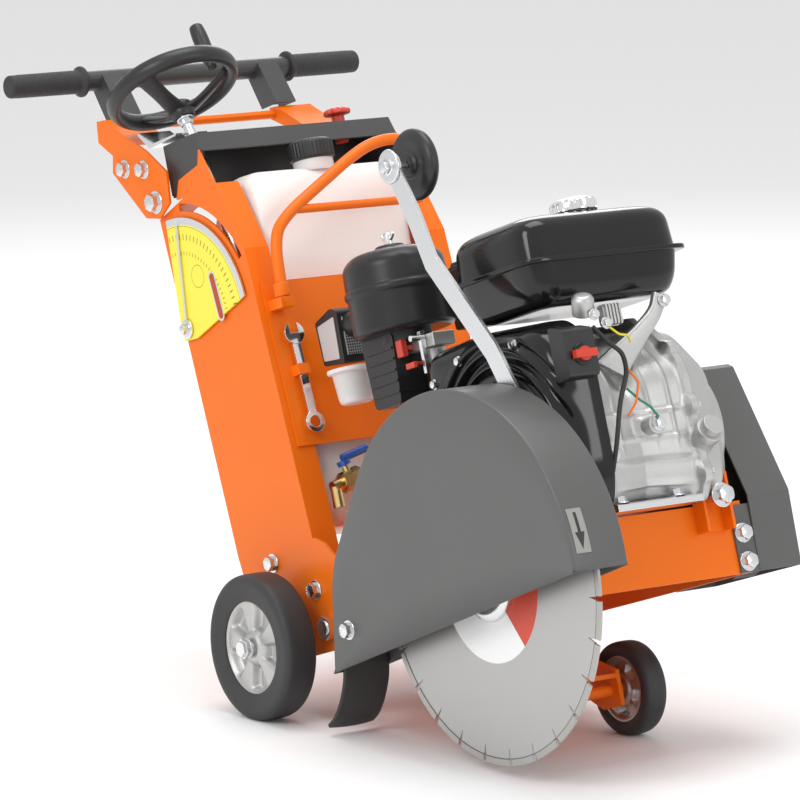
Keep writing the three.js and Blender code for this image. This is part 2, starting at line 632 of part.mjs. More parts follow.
// ---- belt drive ----
function pulley(x, z, y, width, radius, bore) {
  const half = width / 2;
  const profile = [[bore, -half]];
  for (let i = 0; i < 3; i += 1) {
    const start = -half + 2 + i * ((width - 4) / 3);
    const pitch = (width - 4) / 3;
    profile.push([radius, i === 0 ? -half : start + 1], [radius, start + 1.5], [radius - 9, start + 4]);
    profile.push([radius - 9, start + pitch - 4], [radius, start + pitch - 1.5]);
  }
  profile.push([radius, half], [bore, half], [bore, -half]);
  return turned(profile, alongY, [x, y, z], 16);
}
add('engine_pulley', pulley(engine.x, engine.z, enginePulley.y, enginePulley.width, enginePulley.radius,
  12.5 + gap), aluminium());
add('blade_pulley', pulley(shaft.x, shaft.z, bladePulley.y, bladePulley.width, bladePulley.radius,
  shaft.radius + gap), aluminium());
function beltLoop(radiusTop, radiusBottom) {
  const shape = new THREE.Shape();
  const span = engine.z - shaft.z;
  const lean = Math.asin((radiusBottom - radiusTop) / span);
  const drift = Math.atan2(engine.x - shaft.x, span);
  shape.absarc(shaft.x, shaft.z, radiusBottom, Math.PI - lean - drift, lean - drift, false);
  shape.absarc(engine.x, engine.z, radiusTop, lean - drift, Math.PI - lean - drift, false);
  shape.closePath();
  return shape;
}
function beltRing(outward, inward, y0, y1) {
  const loop = (offset) => beltLoop(enginePulley.radius + offset, bladePulley.radius + offset);
  return cut(plateY(loop(outward), y0, y1, [], 6), plateY(loop(inward), y0 - 5, y1 + 5, [], 6));
}
function driveBelts() {
  const { y, width } = enginePulley;
  const pitch = (width - 4) / 3;
  const belts = [0, 1, 2].map((i) => {
    const middle = y - width / 2 + 2 + pitch * (i + 0.5);
    return beltRing(5, -7.5, middle - 2.2, middle + 2.2);
  });
  const band = beltRing(5.5, 2, y - width / 2 + 3, y + width / 2 - 3);
  return join(band, ...belts);
}
add('drive_belts', driveBelts(), beltRubber());

function beltGuardShell() {
  const { inner, outer, wrap, sheet } = beltGuard;
  const outline = [
    [552, -36], [555, 60], [493, 229], [484, 234], [402, 234], [372, 120], [372, -36],
  ];
  const hollowOutline = [
    [552 - sheet, -40], [555 - sheet, 59.5], [491.5, 226.5], [483, 231.5], [404, 231.5], [372 + sheet, 119.5],
    [372 + sheet, -40],
  ];
  const shell = cut(plateY(outline, inner, outer), plateY(hollowOutline, inner - 5, outer - sheet));
  const wrapFace = box(chassis.front + gap, chassis.front + gap + 3, wrap, inner + 1, chassis.bottom, 50);
  return join(shell, wrapFace);
}
add('belt_guard', beltGuardShell(), greyPaint());

// ---- blade shaft, its bearings, flanges and blade ----
function bladeShaft() {
  const { x, z, radius } = shaft;
  const innerFlange = rodY(x, z, -175.2, -164, 48, 28);
  const nut = rodY(x, z, -204, -187.2, 22, 6);
  return join(rodY(x, z, -208, 230, radius, 24), innerFlange, nut);
}
add('blade_shaft', bladeShaft(), bladeSteel());
function bearing(y) {
  const housing = rodY(shaft.x, shaft.z, y, y + 26, 30, 20);
  const foot = box(shaft.x - 45, shaft.x + 45, y + 3, y + 23, 36, 50.7);
  const neck = box(shaft.x - 22, shaft.x + 22, y + 3, y + 23, 20, 40);
  return cut(join(housing, foot, neck), rodY(shaft.x, shaft.z, -150, 180, shaft.radius + gap, 20));
}
add('shaft_bearing_right', bearing(-114), aluminium());
add('shaft_bearing_left', bearing(124), aluminium());
add('outer_flange', cut(join(turned([[0, -8], [42, -8], [48, -4], [48, 0], [0, 0]], alongY,
  [shaft.x, blade.y - blade.thickness / 2 - gap, shaft.z], 28)), rodY(shaft.x, shaft.z, -200, -170,
  shaft.radius + gap, 24)), zinc());

function sawBlade() {
  const { segments, radius, core, thickness, y, arbor } = blade;
  const shape = new THREE.Shape();
  const slotWidth = 3;
  const step = (Math.PI * 2) / segments;
  const half = slotWidth / 2;
  for (let i = 0; i < segments; i += 1) {
    const start = i * step + half / radius;
    const end = (i + 1) * step - half / radius;
    const at = (r, angle) => [shaft.x + r * Math.cos(angle), shaft.z + r * Math.sin(angle)];
    const method = i === 0 ? 'moveTo' : 'lineTo';
    shape[method](...at(core - 18, i * step + half / core));
    for (let j = 0; j <= 2; j += 1) {
      shape.lineTo(...at(radius, start + ((end - start) * j) / 2));
    }
    shape.lineTo(...at(core - 18, (i + 1) * step - half / core));
    shape.lineTo(...at(core - 21, (i + 1) * step));
  }
  return plateY(shape, y - thickness / 2, y + thickness / 2, [[shaft.x, shaft.z, arbor + gap]]);
}
add('saw_blade', sawBlade(), bladeSteel());

// ---- blade guard: side plates and a rim, open below ----
function guardOutline(offset) {
  const { x, z, radius } = guard;
  const r = radius - offset;
  const shape = new THREE.Shape();
  const start = THREE.MathUtils.degToRad(-4.5);
  const end = THREE.MathUtils.degToRad(137);
  const tangent = [x + r * Math.cos(end), z + r * Math.sin(end)];
  shape.moveTo(x + r * Math.cos(start), z + r * Math.sin(start) - offset * 4);
  shape.absarc(x, z, r, start, end, false);
  shape.lineTo(tangent[0] - 74 + offset * 0.1, tangent[1] - 79);
  shape.quadraticCurveTo(190 + offset, 66, 182 + offset, 36);
  shape.lineTo(156 + offset, -58 - offset * 4);
  return shape;
}
function bladeGuard() {
  const { outer, inner, sheet } = guard;
  const whole = plateY(guardOutline(0), outer, inner, [], 16);
  const hollow = plateY(guardOutline(sheet), outer + sheet, inner - sheet, [], 16);
  const hub = rodY(shaft.x, shaft.z, inner - 10, inner + 10, 62, 24);
  const innerOpening = box(180, 720, inner - 10, inner + 10, -80, 4);
  const lowerOpening = box(300, 700, outer + sheet, inner - sheet, -90, 0);
  return join(cut(whole, hollow, hub, innerOpening, lowerOpening), boltHead(208, -10, outer));
}
add('blade_guard', bladeGuard(), greyPaint());
function splashFlap() {
  const outline = [
    [176, -28], [171, -28], [167, -62], [150, -91], [129, -112], [110, -120], [112, -126],
    [132, -118], [155, -95],
    [172, -64],
  ];
  return plateY(outline, -212, -144);
}
add('splash_flap', splashFlap(), rubber());

// ---- wheels and axles ----
// a solid rubber tyre bonded to a cast rim with five broad spokes
function wheel({ radius, rim, width }, centre, bore) {
  const half = width / 2;
  const spokeCount = 5;
  const ring = turned([
    [rim - 6, -half + 4], [radius - 8, -half], [radius, -half + 7], [radius, half - 7], [radius - 8, half],
    [rim - 6, half - 4], [rim - 6, -half + 4],
  ], alongY, centre, 28);
  const hub = rodY(centre[0], centre[2], centre[1] - half + 2, centre[1] + half - 2, bore + 11, 16);
  const spokes = [];
  for (let i = 0; i < spokeCount; i += 1) {
    const angle = ((i + 0.25) / spokeCount) * Math.PI * 2;
    const spoke = box(bore + 5, rim - 3, -half * 0.4, half * 0.4, -rim * 0.17, rim * 0.17);
    spokes.push(spoke.rotateY(angle).translate(...centre));
  }
  const bored = rodY(centre[0], centre[2], centre[1] - half - 5, centre[1] + half + 5, bore + gap, 16);
  return cut(join(ring, hub, ...spokes), bored);
}
[[-1, 'right'], [1, 'left']].forEach(([side, name]) => {
  add(`rear_wheel_${name}`, wheel(rearWheel, [0, side * rearWheel.y, 0], rearAxleRadius), rubber());
});
function rearAxle() {
  const end = rearWheel.y + rearWheel.width / 2;
  const collar = (y) => rodY(0, 0, y, y + 8, 15, 20);
  return join(rodY(0, 0, -end - 2, end + 2, rearAxleRadius, 20), rodY(0, 0, -end - 8, -end + 1.6, 14, 6),
    rodY(0, 0, end - 1.6, end + 8, 14, 6), collar(-rearWheel.y + 23), collar(rearWheel.y - 31));
}
add('rear_axle', rearAxle(), zinc());
[[-1, 'right'], [1, 'left']].forEach(([side, name]) => {
  const { x, y, z } = frontWheel;
  add(`front_wheel_${name}`, wheel(frontWheel, [x, side * y, z], 8), rubber());
});
function frontAxle() {
  const { x, z, y } = frontWheel;
  const inner = y - frontWheel.width / 2;
  const pivotTube = rodY(axlePivot.x, axlePivot.z, -158.5, 158.5, axlePivot.radius + 9, 16);
  const armOutline = [
    [axlePivot.x - 18, axlePivot.z - 10], [axlePivot.x + 8, axlePivot.z + 18],
    [x - 20, z + 42], [x + 20, z + 24],
    [x + 20, z - 22], [x - 20, z - 22],
  ];
  const arms = [plateY(armOutline, -inner + 8, -inner + 14), plateY(armOutline, inner - 14, inner - 8)];
  const crossBox = box(x - 20, x + 20, -inner + 8, inner - 8, z + 14, z + 20);
  const axle = rodY(x, z, -y - 20, y + 20, 8, 20);
  const lever = stripAlong([[axlePivot.x, axlePivot.z], [30, 50]], 18, screwY - 16, screwY - 8);
  const leverPin = rodY(30, 50, screwY - 16, screwY + 4, 6, 16);
  const bore = rodY(axlePivot.x, axlePivot.z, -200, 200, axlePivot.radius + gap, 16);
  return cut(join(pivotTube, ...arms, crossBox, axle, lever, leverPin, rodY(x, z, -y - 22, -y - 16.5, 12, 6),
    rodY(x, z, y + 16.5, y + 22, 12, 6)), bore);
}
add('front_axle', frontAxle(), orangePaint());

// ---- the pin that the front axle turns on ----
add('axle_pivot_pin', join(rodY(axlePivot.x, axlePivot.z, -178, 176, axlePivot.radius, 16),
  rodY(axlePivot.x, axlePivot.z, -176, -164 - gap, 16, 6),
  rodY(axlePivot.x, axlePivot.z, 165 + gap, 174, 16, 6)), zinc());

// ---- the machine stands nose up on its wheels, centred over the origin ----
machine.rotation.y = -THREE.MathUtils.degToRad(tiltDegrees);
const group = new THREE.Group();
group.add(machine);
group.updateMatrixWorld(true);
const reach = new THREE.Box3().setFromObject(group, true);
group.position.set(-(reach.min.x + reach.max.x) / 2, -(reach.min.y + reach.max.y) / 2, -reach.min.z);

export default group;
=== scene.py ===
import json
import math

import bmesh
import bpy
import numpy as np
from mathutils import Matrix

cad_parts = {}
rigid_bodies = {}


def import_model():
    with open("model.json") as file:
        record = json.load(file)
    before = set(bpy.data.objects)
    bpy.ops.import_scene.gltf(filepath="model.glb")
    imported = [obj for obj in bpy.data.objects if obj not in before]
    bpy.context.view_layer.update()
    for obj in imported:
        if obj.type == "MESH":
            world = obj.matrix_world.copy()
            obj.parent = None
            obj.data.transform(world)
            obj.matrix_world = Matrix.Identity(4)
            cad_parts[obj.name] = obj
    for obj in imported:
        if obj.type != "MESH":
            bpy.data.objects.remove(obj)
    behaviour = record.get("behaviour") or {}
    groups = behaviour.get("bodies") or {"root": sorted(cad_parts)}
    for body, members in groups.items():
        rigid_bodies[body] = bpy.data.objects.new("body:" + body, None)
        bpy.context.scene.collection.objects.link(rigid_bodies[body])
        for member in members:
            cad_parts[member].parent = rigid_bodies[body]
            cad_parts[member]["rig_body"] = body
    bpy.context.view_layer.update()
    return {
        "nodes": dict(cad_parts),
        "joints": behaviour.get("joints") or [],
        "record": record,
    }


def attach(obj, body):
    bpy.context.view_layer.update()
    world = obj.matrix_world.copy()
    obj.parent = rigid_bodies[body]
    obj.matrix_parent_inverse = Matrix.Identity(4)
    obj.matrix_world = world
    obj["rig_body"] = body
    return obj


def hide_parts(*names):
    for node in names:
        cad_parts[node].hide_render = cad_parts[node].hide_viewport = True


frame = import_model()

jointNamed = {joint["name"]: joint for joint in frame["joints"]}
mountNamed = {mount["name"]: mount for mount in frame["record"]["mounts"]}

# ---- the chassis axes: origin on the rear axle, then forwards, left, and square to the deck
rearAxle = np.array(jointNamed["rear_wheel_right_spin"]["pos_m"]) * (1, 0, 1)
forwards = -np.array(mountNamed["rear_plate"]["axis"])
chassisAxes = np.array([forwards, (0, 1, 0), np.cross(forwards, (0, 1, 0))])


def place(points):  # millimetres on the chassis axes, turned onto them and moved to the rear axle, in metres
    return rearAxle + np.asarray(points, float) @ chassisAxes / 1000


def onChassis(point):  # the same, backwards: a point of the frame in chassis millimetres
    return (np.asarray(point, float) - rearAxle) @ chassisAxes.T * 1000


# ---- camera and studio
view = {"azimuth": 55.13, "elevation": 8.88, "roll": -0.80, "distance": 6.472, "lens": 231.9,
        "aim": (0.135, -0.1437, 0.4346)}


def makeCamera():  # stands at aim + distance along the view direction, and is rolled about it
    turn, rise, roll = (math.radians(view[k]) for k in ("azimuth", "elevation", "roll"))
    back = np.array((math.sin(turn) * math.cos(rise), -math.cos(turn) * math.cos(rise), math.sin(rise)))
    right = np.array((math.cos(turn), math.sin(turn), 0))
    up = np.cross(back, right)
    side = right * math.cos(roll) + up * math.sin(roll)
    data = bpy.data.cameras.new("viewpoint")
    data.lens = view["lens"]
    data.sensor_width = 36
    data.clip_end = 50
    camera = bpy.data.objects.new("viewpoint", data)
    bpy.context.scene.collection.objects.link(camera)
    matrix = np.eye(4)
    matrix[:3, 0], matrix[:3, 1], matrix[:3, 2] = side, np.cross(back, side), back
    matrix[:3, 3] = np.array(view["aim"]) + back * view["distance"]
    camera.matrix_world = matrix.T.tolist()
    bpy.context.scene.camera = camera


studio = {"world": 0.80, "floor": (0.93, 0.93, 0.93), "floorSize": 60,
          "lamps": [("keyBox", (1.2, -3.8, 3.0), 1.8, 62), ("frontBox", (4.8, 1.2, 2.2), 1.4, 26),
                    ("topBox", (0.0, 0.2, 4.4), 2.6, 78), ("backBox", (-3.6, 2.6, 2.6), 1.8, 30)]}


def makeStudio():
    world = bpy.data.worlds.new("studio")
    world.use_nodes = True
    world.node_tree.nodes["Background"].inputs["Color"].default_value = (1, 1, 1, 1)
    world.node_tree.nodes["Background"].inputs["Strength"].default_value = studio["world"]
    bpy.context.scene.world = world
    bpy.context.scene.view_settings.view_transform = "Standard"
    half = studio["floorSize"] / 2
    mesh = bpy.data.meshes.new("studioFloor")
    mesh.from_pydata([(-half, -half, 0), (half, -half, 0), (half, half, 0), (-half, half, 0)], [],
                     [(0, 1, 2, 3)])
    floor = bpy.data.objects.new("studioFloor", mesh)
    bpy.context.scene.collection.objects.link(floor)
    paint = bpy.data.materials.new("studioPaper")
    paint.use_nodes = True
    paint.node_tree.nodes["Principled BSDF"].inputs["Base Color"].default_value = (*studio["floor"], 1)
    paint.node_tree.nodes["Principled BSDF"].inputs["Roughness"].default_value = 0.9
    mesh.materials.append(paint)
    for name, spot, size, power in studio["lamps"]:
        data = bpy.data.lights.new(name, "AREA")
        data.size, data.energy = size, power
        lamp = bpy.data.objects.new(name, data)
        bpy.context.scene.collection.objects.link(lamp)
        lamp.location = spot
        lamp.rotation_euler = (-lamp.location).to_track_quat("-Z", "Y").to_euler()


makeCamera()
makeStudio()
print("camera and studio ready")


# ---- node groups: what several finishes share
def newGroup(name, inputs, outputs):
    group = bpy.data.node_groups.new(name, "ShaderNodeTree")
    for label, kind, value in inputs:
        socket = group.interface.new_socket(label, in_out="INPUT", socket_type=kind)
        socket.default_value = value
    for label, kind in outputs:
        group.interface.new_socket(label, in_out="OUTPUT", socket_type=kind)
    return group, group.nodes.new("NodeGroupInput"), group.nodes.new("NodeGroupOutput")


def mathNode(tree, operation, a, b=None, c=None, clamp=False):
    node = tree.nodes.new("ShaderNodeMath")
    node.operation, node.use_clamp = operation, clamp
    for socket, value in zip(node.inputs, (a, b, c)):
        if value is None:
            continue
        if isinstance(value, (int, float)):
            socket.default_value = value
        else:
            tree.links.new(value, socket)
    return node.outputs[0]


def mixColour(tree, factor, a, b, blend="MIX"):
    node = tree.nodes.new("ShaderNodeMix")
    node.data_type, node.blend_type = "RGBA", blend
    for label, value in (("Factor", factor), ("A", a), ("B", b)):
        socket = next(s for s in node.inputs if s.name == label and s.enabled)
        if isinstance(value, (int, float, tuple)):
            socket.default_value = value
        else:
            tree.links.new(value, socket)
    return next(s for s in node.outputs if s.enabled)


def noiseNode(tree, vector, scale, detail=3.0, rough=0.55):
    node = tree.nodes.new("ShaderNodeTexNoise")
    tree.links.new(vector, node.inputs["Vector"])
    for label, value in (("Scale", scale), ("Detail", detail), ("Roughness", rough)):
        if isinstance(value, (int, float)):
            node.inputs[label].default_value = value
        else:
            tree.links.new(value, node.inputs[label])
    return node.outputs["Fac"]


def objectPoint(tree):
    return tree.nodes.new("ShaderNodeTexCoord").outputs["Object"]


def makeFinishGroup():  # soft clouds move the colour and gloss, a fine grain gives the height
    group, given, out = newGroup(
        "finishGrain",
        [("Colour", "NodeSocketColor", (0.8, 0.8, 0.8, 1)), ("Shade", "NodeSocketColor", (0.6, 0.6, 0.6, 1)),
         ("Cloud Size", "NodeSocketFloat", 6.0), ("Cloud Amount", "NodeSocketFloat", 0.4),
         ("Grain Size", "NodeSocketFloat", 400.0), ("Grain Amount", "NodeSocketFloat", 0.2),
         ("Gloss", "NodeSocketFloat", 0.4), ("Gloss Spread", "NodeSocketFloat", 0.1)],
        [("Colour", "NodeSocketColor"), ("Roughness", "NodeSocketFloat"), ("Height", "NodeSocketFloat")])
    spot = objectPoint(group)
    clouds = noiseNode(group, spot, given.outputs["Cloud Size"], 4.0)
    grain = noiseNode(group, spot, given.outputs["Grain Size"], 2.0, 0.5)
    cloudy = mathNode(group, "SUBTRACT", clouds, 0.25, clamp=True)
    mixed = mathNode(group, "MULTIPLY", cloudy, given.outputs["Cloud Amount"])
    speck = mathNode(group, "MULTIPLY", mathNode(group, "SUBTRACT", grain, 0.5),
                     given.outputs["Grain Amount"])
    share = mathNode(group, "ADD", mixed, speck, clamp=True)
    group.links.new(mixColour(group, share, given.outputs["Colour"], given.outputs["Shade"]),
                    out.inputs["Colour"])
    drift = mathNode(group, "MULTIPLY", mathNode(group, "SUBTRACT", clouds, 0.5),
                     given.outputs["Gloss Spread"])
    group.links.new(mathNode(group, "ADD", given.outputs["Gloss"], drift, clamp=True),
                    out.inputs["Roughness"])
    group.links.new(grain, out.inputs["Height"])
    return group


def makeDustGroup():  # settled dust: stronger where the surface looks up, broken by noise
    group, given, out = newGroup(
        "settledDust",
        [("Colour", "NodeSocketColor", (0.5, 0.5, 0.5, 1)),
         ("Dust", "NodeSocketColor", (0.45, 0.43, 0.40, 1)),
         ("Amount", "NodeSocketFloat", 0.2), ("Size", "NodeSocketFloat", 25.0)],
        [("Colour", "NodeSocketColor"), ("Mask", "NodeSocketFloat")])
    split = group.nodes.new("ShaderNodeSeparateXYZ")
    group.links.new(group.nodes.new("ShaderNodeNewGeometry").outputs["Normal"], split.inputs[0])
    lookingUp = mathNode(group, "MULTIPLY_ADD", split.outputs["Z"], 0.5, 0.5, clamp=True)
    patches = noiseNode(group, objectPoint(group), given.outputs["Size"], 5.0, 0.65)
    settled = mathNode(group, "MULTIPLY", lookingUp, patches)
    mask = mathNode(group, "MULTIPLY", settled, given.outputs["Amount"], clamp=True)
    group.links.new(mixColour(group, mask, given.outputs["Colour"], given.outputs["Dust"]),
                    out.inputs["Colour"])
    group.links.new(mask, out.inputs["Mask"])
    return group


def makePolarGroup():  # a point as distance from, and angle about, a centre in a plane across the Y axis
    group, given, out = newGroup(
        "polarAcross", [("Centre", "NodeSocketVector", (0, 0, 0))],
        [("Radius", "NodeSocketFloat"), ("Angle", "NodeSocketFloat"), ("Ring", "NodeSocketVector")])
    away = group.nodes.new("ShaderNodeVectorMath")
    away.operation = "SUBTRACT"
    group.links.new(objectPoint(group), away.inputs[0])
    group.links.new(given.outputs["Centre"], away.inputs[1])
    split = group.nodes.new("ShaderNodeSeparateXYZ")
    group.links.new(away.outputs[0], split.inputs[0])
    x, z = split.outputs["X"], split.outputs["Z"]
    squares = mathNode(group, "ADD", mathNode(group, "MULTIPLY", x, x), mathNode(group, "MULTIPLY", z, z))
    radius = mathNode(group, "SQRT", squares)
    angle = mathNode(group, "ARCTAN2", z, x)
    ring = group.nodes.new("ShaderNodeCombineXYZ")
    group.links.new(radius, ring.inputs["X"])
    group.links.new(mathNode(group, "MULTIPLY", angle, 0.02), ring.inputs["Y"])
    group.links.new(radius, out.inputs["Radius"])
    group.links.new(angle, out.inputs["Angle"])
    group.links.new(ring.outputs[0], out.inputs["Ring"])
    return group


finishGroup = makeFinishGroup()
dustGroup = makeDustGroup()
polarGroup = makePolarGroup()


def useGroup(tree, group, **values):
    node = tree.nodes.new("ShaderNodeGroup")
    node.node_tree = group
    for label, value in values.items():
        socket = node.inputs[label.replace("_", " ")]
        if isinstance(value, (int, float, tuple)):
            socket.default_value = value
        else:
            tree.links.new(value, socket)
    return node


# ---- finishes: colour, its shade, cloud and grain sizes, gloss, metal, bump depth, dust
usual = dict(cloud=(30, 0.4), grain=(900, 0.1), metal=0.0, coat=0.0, dust=0.03, mirror=0.5)
finishes = {
    "orangePaint": dict(colour=(0.86, 0.16, 0.002), shade=(0.8, 0.134, 0.002), cloud=(5, 0.4),
                        grain=(520, 0.1), gloss=(0.34, 0.1), coat=0.04, bump=0.00005, dust=0.02, mirror=0.24),
    "guardPaint": dict(colour=(0.092, 0.092, 0.091), shade=(0.076, 0.076, 0.075), cloud=(7, 0.4),
                       grain=(900, 0.18), gloss=(0.42, 0.12), coat=0.1, bump=0.00008),
    "darkPaint": dict(colour=(0.04, 0.04, 0.041), shade=(0.03, 0.03, 0.031), cloud=(9, 0.4), grain=(900, 0.2),
                      gloss=(0.42, 0.12), coat=0.1, bump=0.00010),
    "blackEnamel": dict(colour=(0.007, 0.007, 0.008), shade=(0.012, 0.012, 0.013), cloud=(6, 0.4),
                        grain=(700, 0.05), gloss=(0.13, 0.07), coat=0.12, bump=0.00002, dust=0.01,
                        mirror=0.36),
    "blackPlastic": dict(colour=(0.014, 0.014, 0.015), shade=(0.022, 0.022, 0.023), cloud=(12, 0.4),
                         grain=(1100, 0.25), gloss=(0.36, 0.12), bump=0.00012),
    "tyreRubber": dict(colour=(0.022, 0.022, 0.024), shade=(0.04, 0.039, 0.038), cloud=(14, 0.6),
                       grain=(600, 0.25), gloss=(0.55, 0.16), bump=0.00018, dust=0.05),
    "gripRubber": dict(colour=(0.02, 0.02, 0.021), shade=(0.032, 0.032, 0.033), cloud=(30, 0.5),
                       grain=(1500, 0.35), gloss=(0.62, 0.1), bump=0.00030, dust=0.05),
    "castAluminium": dict(colour=(0.56, 0.56, 0.55), shade=(0.4, 0.4, 0.395), cloud=(16, 0.55),
                          grain=(800, 0.45), gloss=(0.38, 0.16), metal=0.9, bump=0.00035),
    "zincPlate": dict(colour=(0.78, 0.79, 0.8), shade=(0.62, 0.64, 0.66), cloud=(22, 0.5), grain=(900, 0.2),
                      gloss=(0.24, 0.14), metal=1.0, bump=0.00006, dust=0.02),
    "chromePlate": dict(colour=(0.86, 0.86, 0.87), shade=(0.74, 0.75, 0.77), grain=(1200, 0.05),
                        gloss=(0.09, 0.06), metal=1.0, bump=0.00001, dust=0.02),
    "brassFitting": dict(colour=(0.72, 0.55, 0.25), shade=(0.5, 0.36, 0.14), cloud=(40, 0.5),
                         grain=(900, 0.3), gloss=(0.28, 0.14), metal=1.0, bump=0.00010),
    "redPlastic": dict(colour=(0.62, 0.035, 0.012), shade=(0.48, 0.022, 0.008), gloss=(0.3, 0.08), coat=0.2,
                       bump=0.00006, dust=0.04),
    "bluePlastic": dict(colour=(0.01, 0.095, 0.42), shade=(0.008, 0.07, 0.32), gloss=(0.32, 0.08), coat=0.2,
                        bump=0.00006, dust=0.04),
    "yellowWire": dict(colour=(0.75, 0.62, 0.03), shade=(0.62, 0.5, 0.02), cloud=(40, 0.4),
                       gloss=(0.35, 0.06), bump=0.00004),
    "greenWire": dict(colour=(0.01, 0.22, 0.12), shade=(0.01, 0.16, 0.09), cloud=(40, 0.4),
                      gloss=(0.35, 0.06), bump=0.00004),
    "slotShade": dict(colour=(0.42, 0.06, 0.004), shade=(0.3, 0.04, 0.003), cloud=(30, 0.5), grain=(600, 0.1),
                      gloss=(0.5, 0.1), bump=0.00004, dust=0.02),
    "arrowField": dict(colour=(0.3, 0.3, 0.28), shade=(0.24, 0.24, 0.22), cloud=(40, 0.5), grain=(900, 0.15),
                       gloss=(0.35, 0.1), coat=0.1, bump=0.00003),
    "arrowInk": dict(colour=(0.02, 0.02, 0.02), shade=(0.03, 0.03, 0.03), cloud=(40, 0.5), grain=(900, 0.15),
                     gloss=(0.35, 0.1), coat=0.1, bump=0.00003),
    "satinBlack": dict(colour=(0.018, 0.018, 0.019), shade=(0.028, 0.028, 0.029), cloud=(8, 0.45),
                       grain=(1400, 0.3), gloss=(0.3, 0.1), coat=0.02, bump=0.00010, dust=0.02, mirror=0.34),
    "muffler": dict(colour=(0.03, 0.028, 0.027), shade=(0.06, 0.05, 0.042), cloud=(18, 0.6), grain=(700, 0.4),
                    gloss=(0.62, 0.12), metal=0.3, bump=0.00030, dust=0.05),
}


def newMaterial(name):
    material = bpy.data.materials.new(name)
    material.use_nodes = True
    return material, material.node_tree, material.node_tree.nodes["Principled BSDF"]


def bumpInto(tree, shader, height, depth):
    bump = tree.nodes.new("ShaderNodeBump")
    bump.inputs["Distance"].default_value = depth
    tree.links.new(height, bump.inputs["Height"])
    tree.links.new(bump.outputs["Normal"], shader.inputs["Normal"])


def makeFinish(name, values):
    f = {**usual, **values}
    material, tree, shader = newMaterial(name)
    grain = useGroup(tree, finishGroup, Colour=(*f["colour"], 1), Shade=(*f["shade"], 1),
                     Cloud_Size=f["cloud"][0], Cloud_Amount=f["cloud"][1], Grain_Size=f["grain"][0],
                     Grain_Amount=f["grain"][1], Gloss=f["gloss"][0], Gloss_Spread=f["gloss"][1])
    dusty = useGroup(tree, dustGroup, Colour=grain.outputs["Colour"], Amount=f["dust"])
    tree.links.new(dusty.outputs["Colour"], shader.inputs["Base Color"])
    tree.links.new(mathNode(tree, "ADD", grain.outputs["Roughness"], dusty.outputs["Mask"], clamp=True),
                   shader.inputs["Roughness"])
    shader.inputs["Metallic"].default_value = f["metal"]
    shader.inputs["Coat Weight"].default_value = f["coat"]
    shader.inputs["Specular IOR Level"].default_value = f["mirror"]
    shader.inputs["Coat Roughness"].default_value = 0.12
    bumpInto(tree, shader, grain.outputs["Height"], f["bump"])
    return material


looks = {name: makeFinish(name, values) for name, values in finishes.items()}


def makeTankPlastic():  # milky blow-moulded wall: light soaks in
    material, tree, shader = newMaterial("tankPlastic")
    grain = useGroup(tree, finishGroup, Colour=(0.92, 0.86, 0.83, 1), Shade=(0.88, 0.80, 0.76, 1),
                     Cloud_Size=5.0, Cloud_Amount=0.6, Grain_Size=160.0, Grain_Amount=0.05, Gloss=0.36,
                     Gloss_Spread=0.12)
    tree.links.new(grain.outputs["Colour"], shader.inputs["Base Color"])
    tree.links.new(grain.outputs["Roughness"], shader.inputs["Roughness"])
    shader.inputs["Subsurface Weight"].default_value = 0.45
    shader.inputs["Subsurface Radius"].default_value = (0.06, 0.045, 0.04)
    shader.inputs["Subsurface Scale"].default_value = 1.0
    bumpInto(tree, shader, grain.outputs["Height"], 0.0003)
    return material


looks["tankPlastic"] = makeTankPlastic()

bladeLook = {"centre": jointNamed["blade_spin"]["pos_m"], "labelRadius": 0.099,
             "wedge": (-0.75, 0.1), "weld": 0.2166, "core": 0.2172}


def makeBladeSteel():
    # fine noise stretched round the centre, a dark line at the weld, and a printed disc in the middle
    material, tree, shader = newMaterial("bladeSteel")
    polar = useGroup(tree, polarGroup, Centre=tuple(bladeLook["centre"]))
    rings = noiseNode(tree, polar.outputs["Ring"], 2600.0, 2.0, 0.6)
    clouds = noiseNode(tree, objectPoint(tree), 9.0, 3.0)
    steel = mixColour(tree, rings, (0.40, 0.40, 0.39, 1), (0.60, 0.60, 0.59, 1))
    steel = mixColour(tree, mathNode(tree, "MULTIPLY", clouds, 0.35), steel, (0.40, 0.40, 0.39, 1))
    offWeld = mathNode(tree, "ABSOLUTE", mathNode(tree, "SUBTRACT", polar.outputs["Radius"],
                                                  bladeLook["weld"]))
    weld = mathNode(tree, "LESS_THAN", offWeld, 0.0007)
    steel = mixColour(tree, mathNode(tree, "MULTIPLY", weld, 0.8), steel, (0.10, 0.10, 0.10, 1))
    outside = mathNode(tree, "GREATER_THAN", polar.outputs["Radius"], bladeLook["core"])
    steel = mixColour(tree, mathNode(tree, "MULTIPLY", outside, 0.5), steel, (0.42, 0.40, 0.37, 1))
    inside = mathNode(tree, "LESS_THAN", polar.outputs["Radius"], bladeLook["labelRadius"])
    low, high = bladeLook["wedge"]
    wedge = mathNode(tree, "MULTIPLY", mathNode(tree, "GREATER_THAN", polar.outputs["Angle"], low),
                     mathNode(tree, "LESS_THAN", polar.outputs["Angle"], high))
    printed = mixColour(tree, wedge, (0.86, 0.86, 0.86, 1), (0.62, 0.06, 0.03, 1))
    tree.links.new(mixColour(tree, inside, steel, printed), shader.inputs["Base Color"])
    tree.links.new(mathNode(tree, "MULTIPLY_ADD", inside, -0.9, 0.95), shader.inputs["Metallic"])
    tree.links.new(mathNode(tree, "MULTIPLY_ADD", rings, 0.22, 0.30), shader.inputs["Roughness"])
    bumpInto(tree, shader, rings, 0.00004)
    return material


looks["bladeSteel"] = makeBladeSteel()

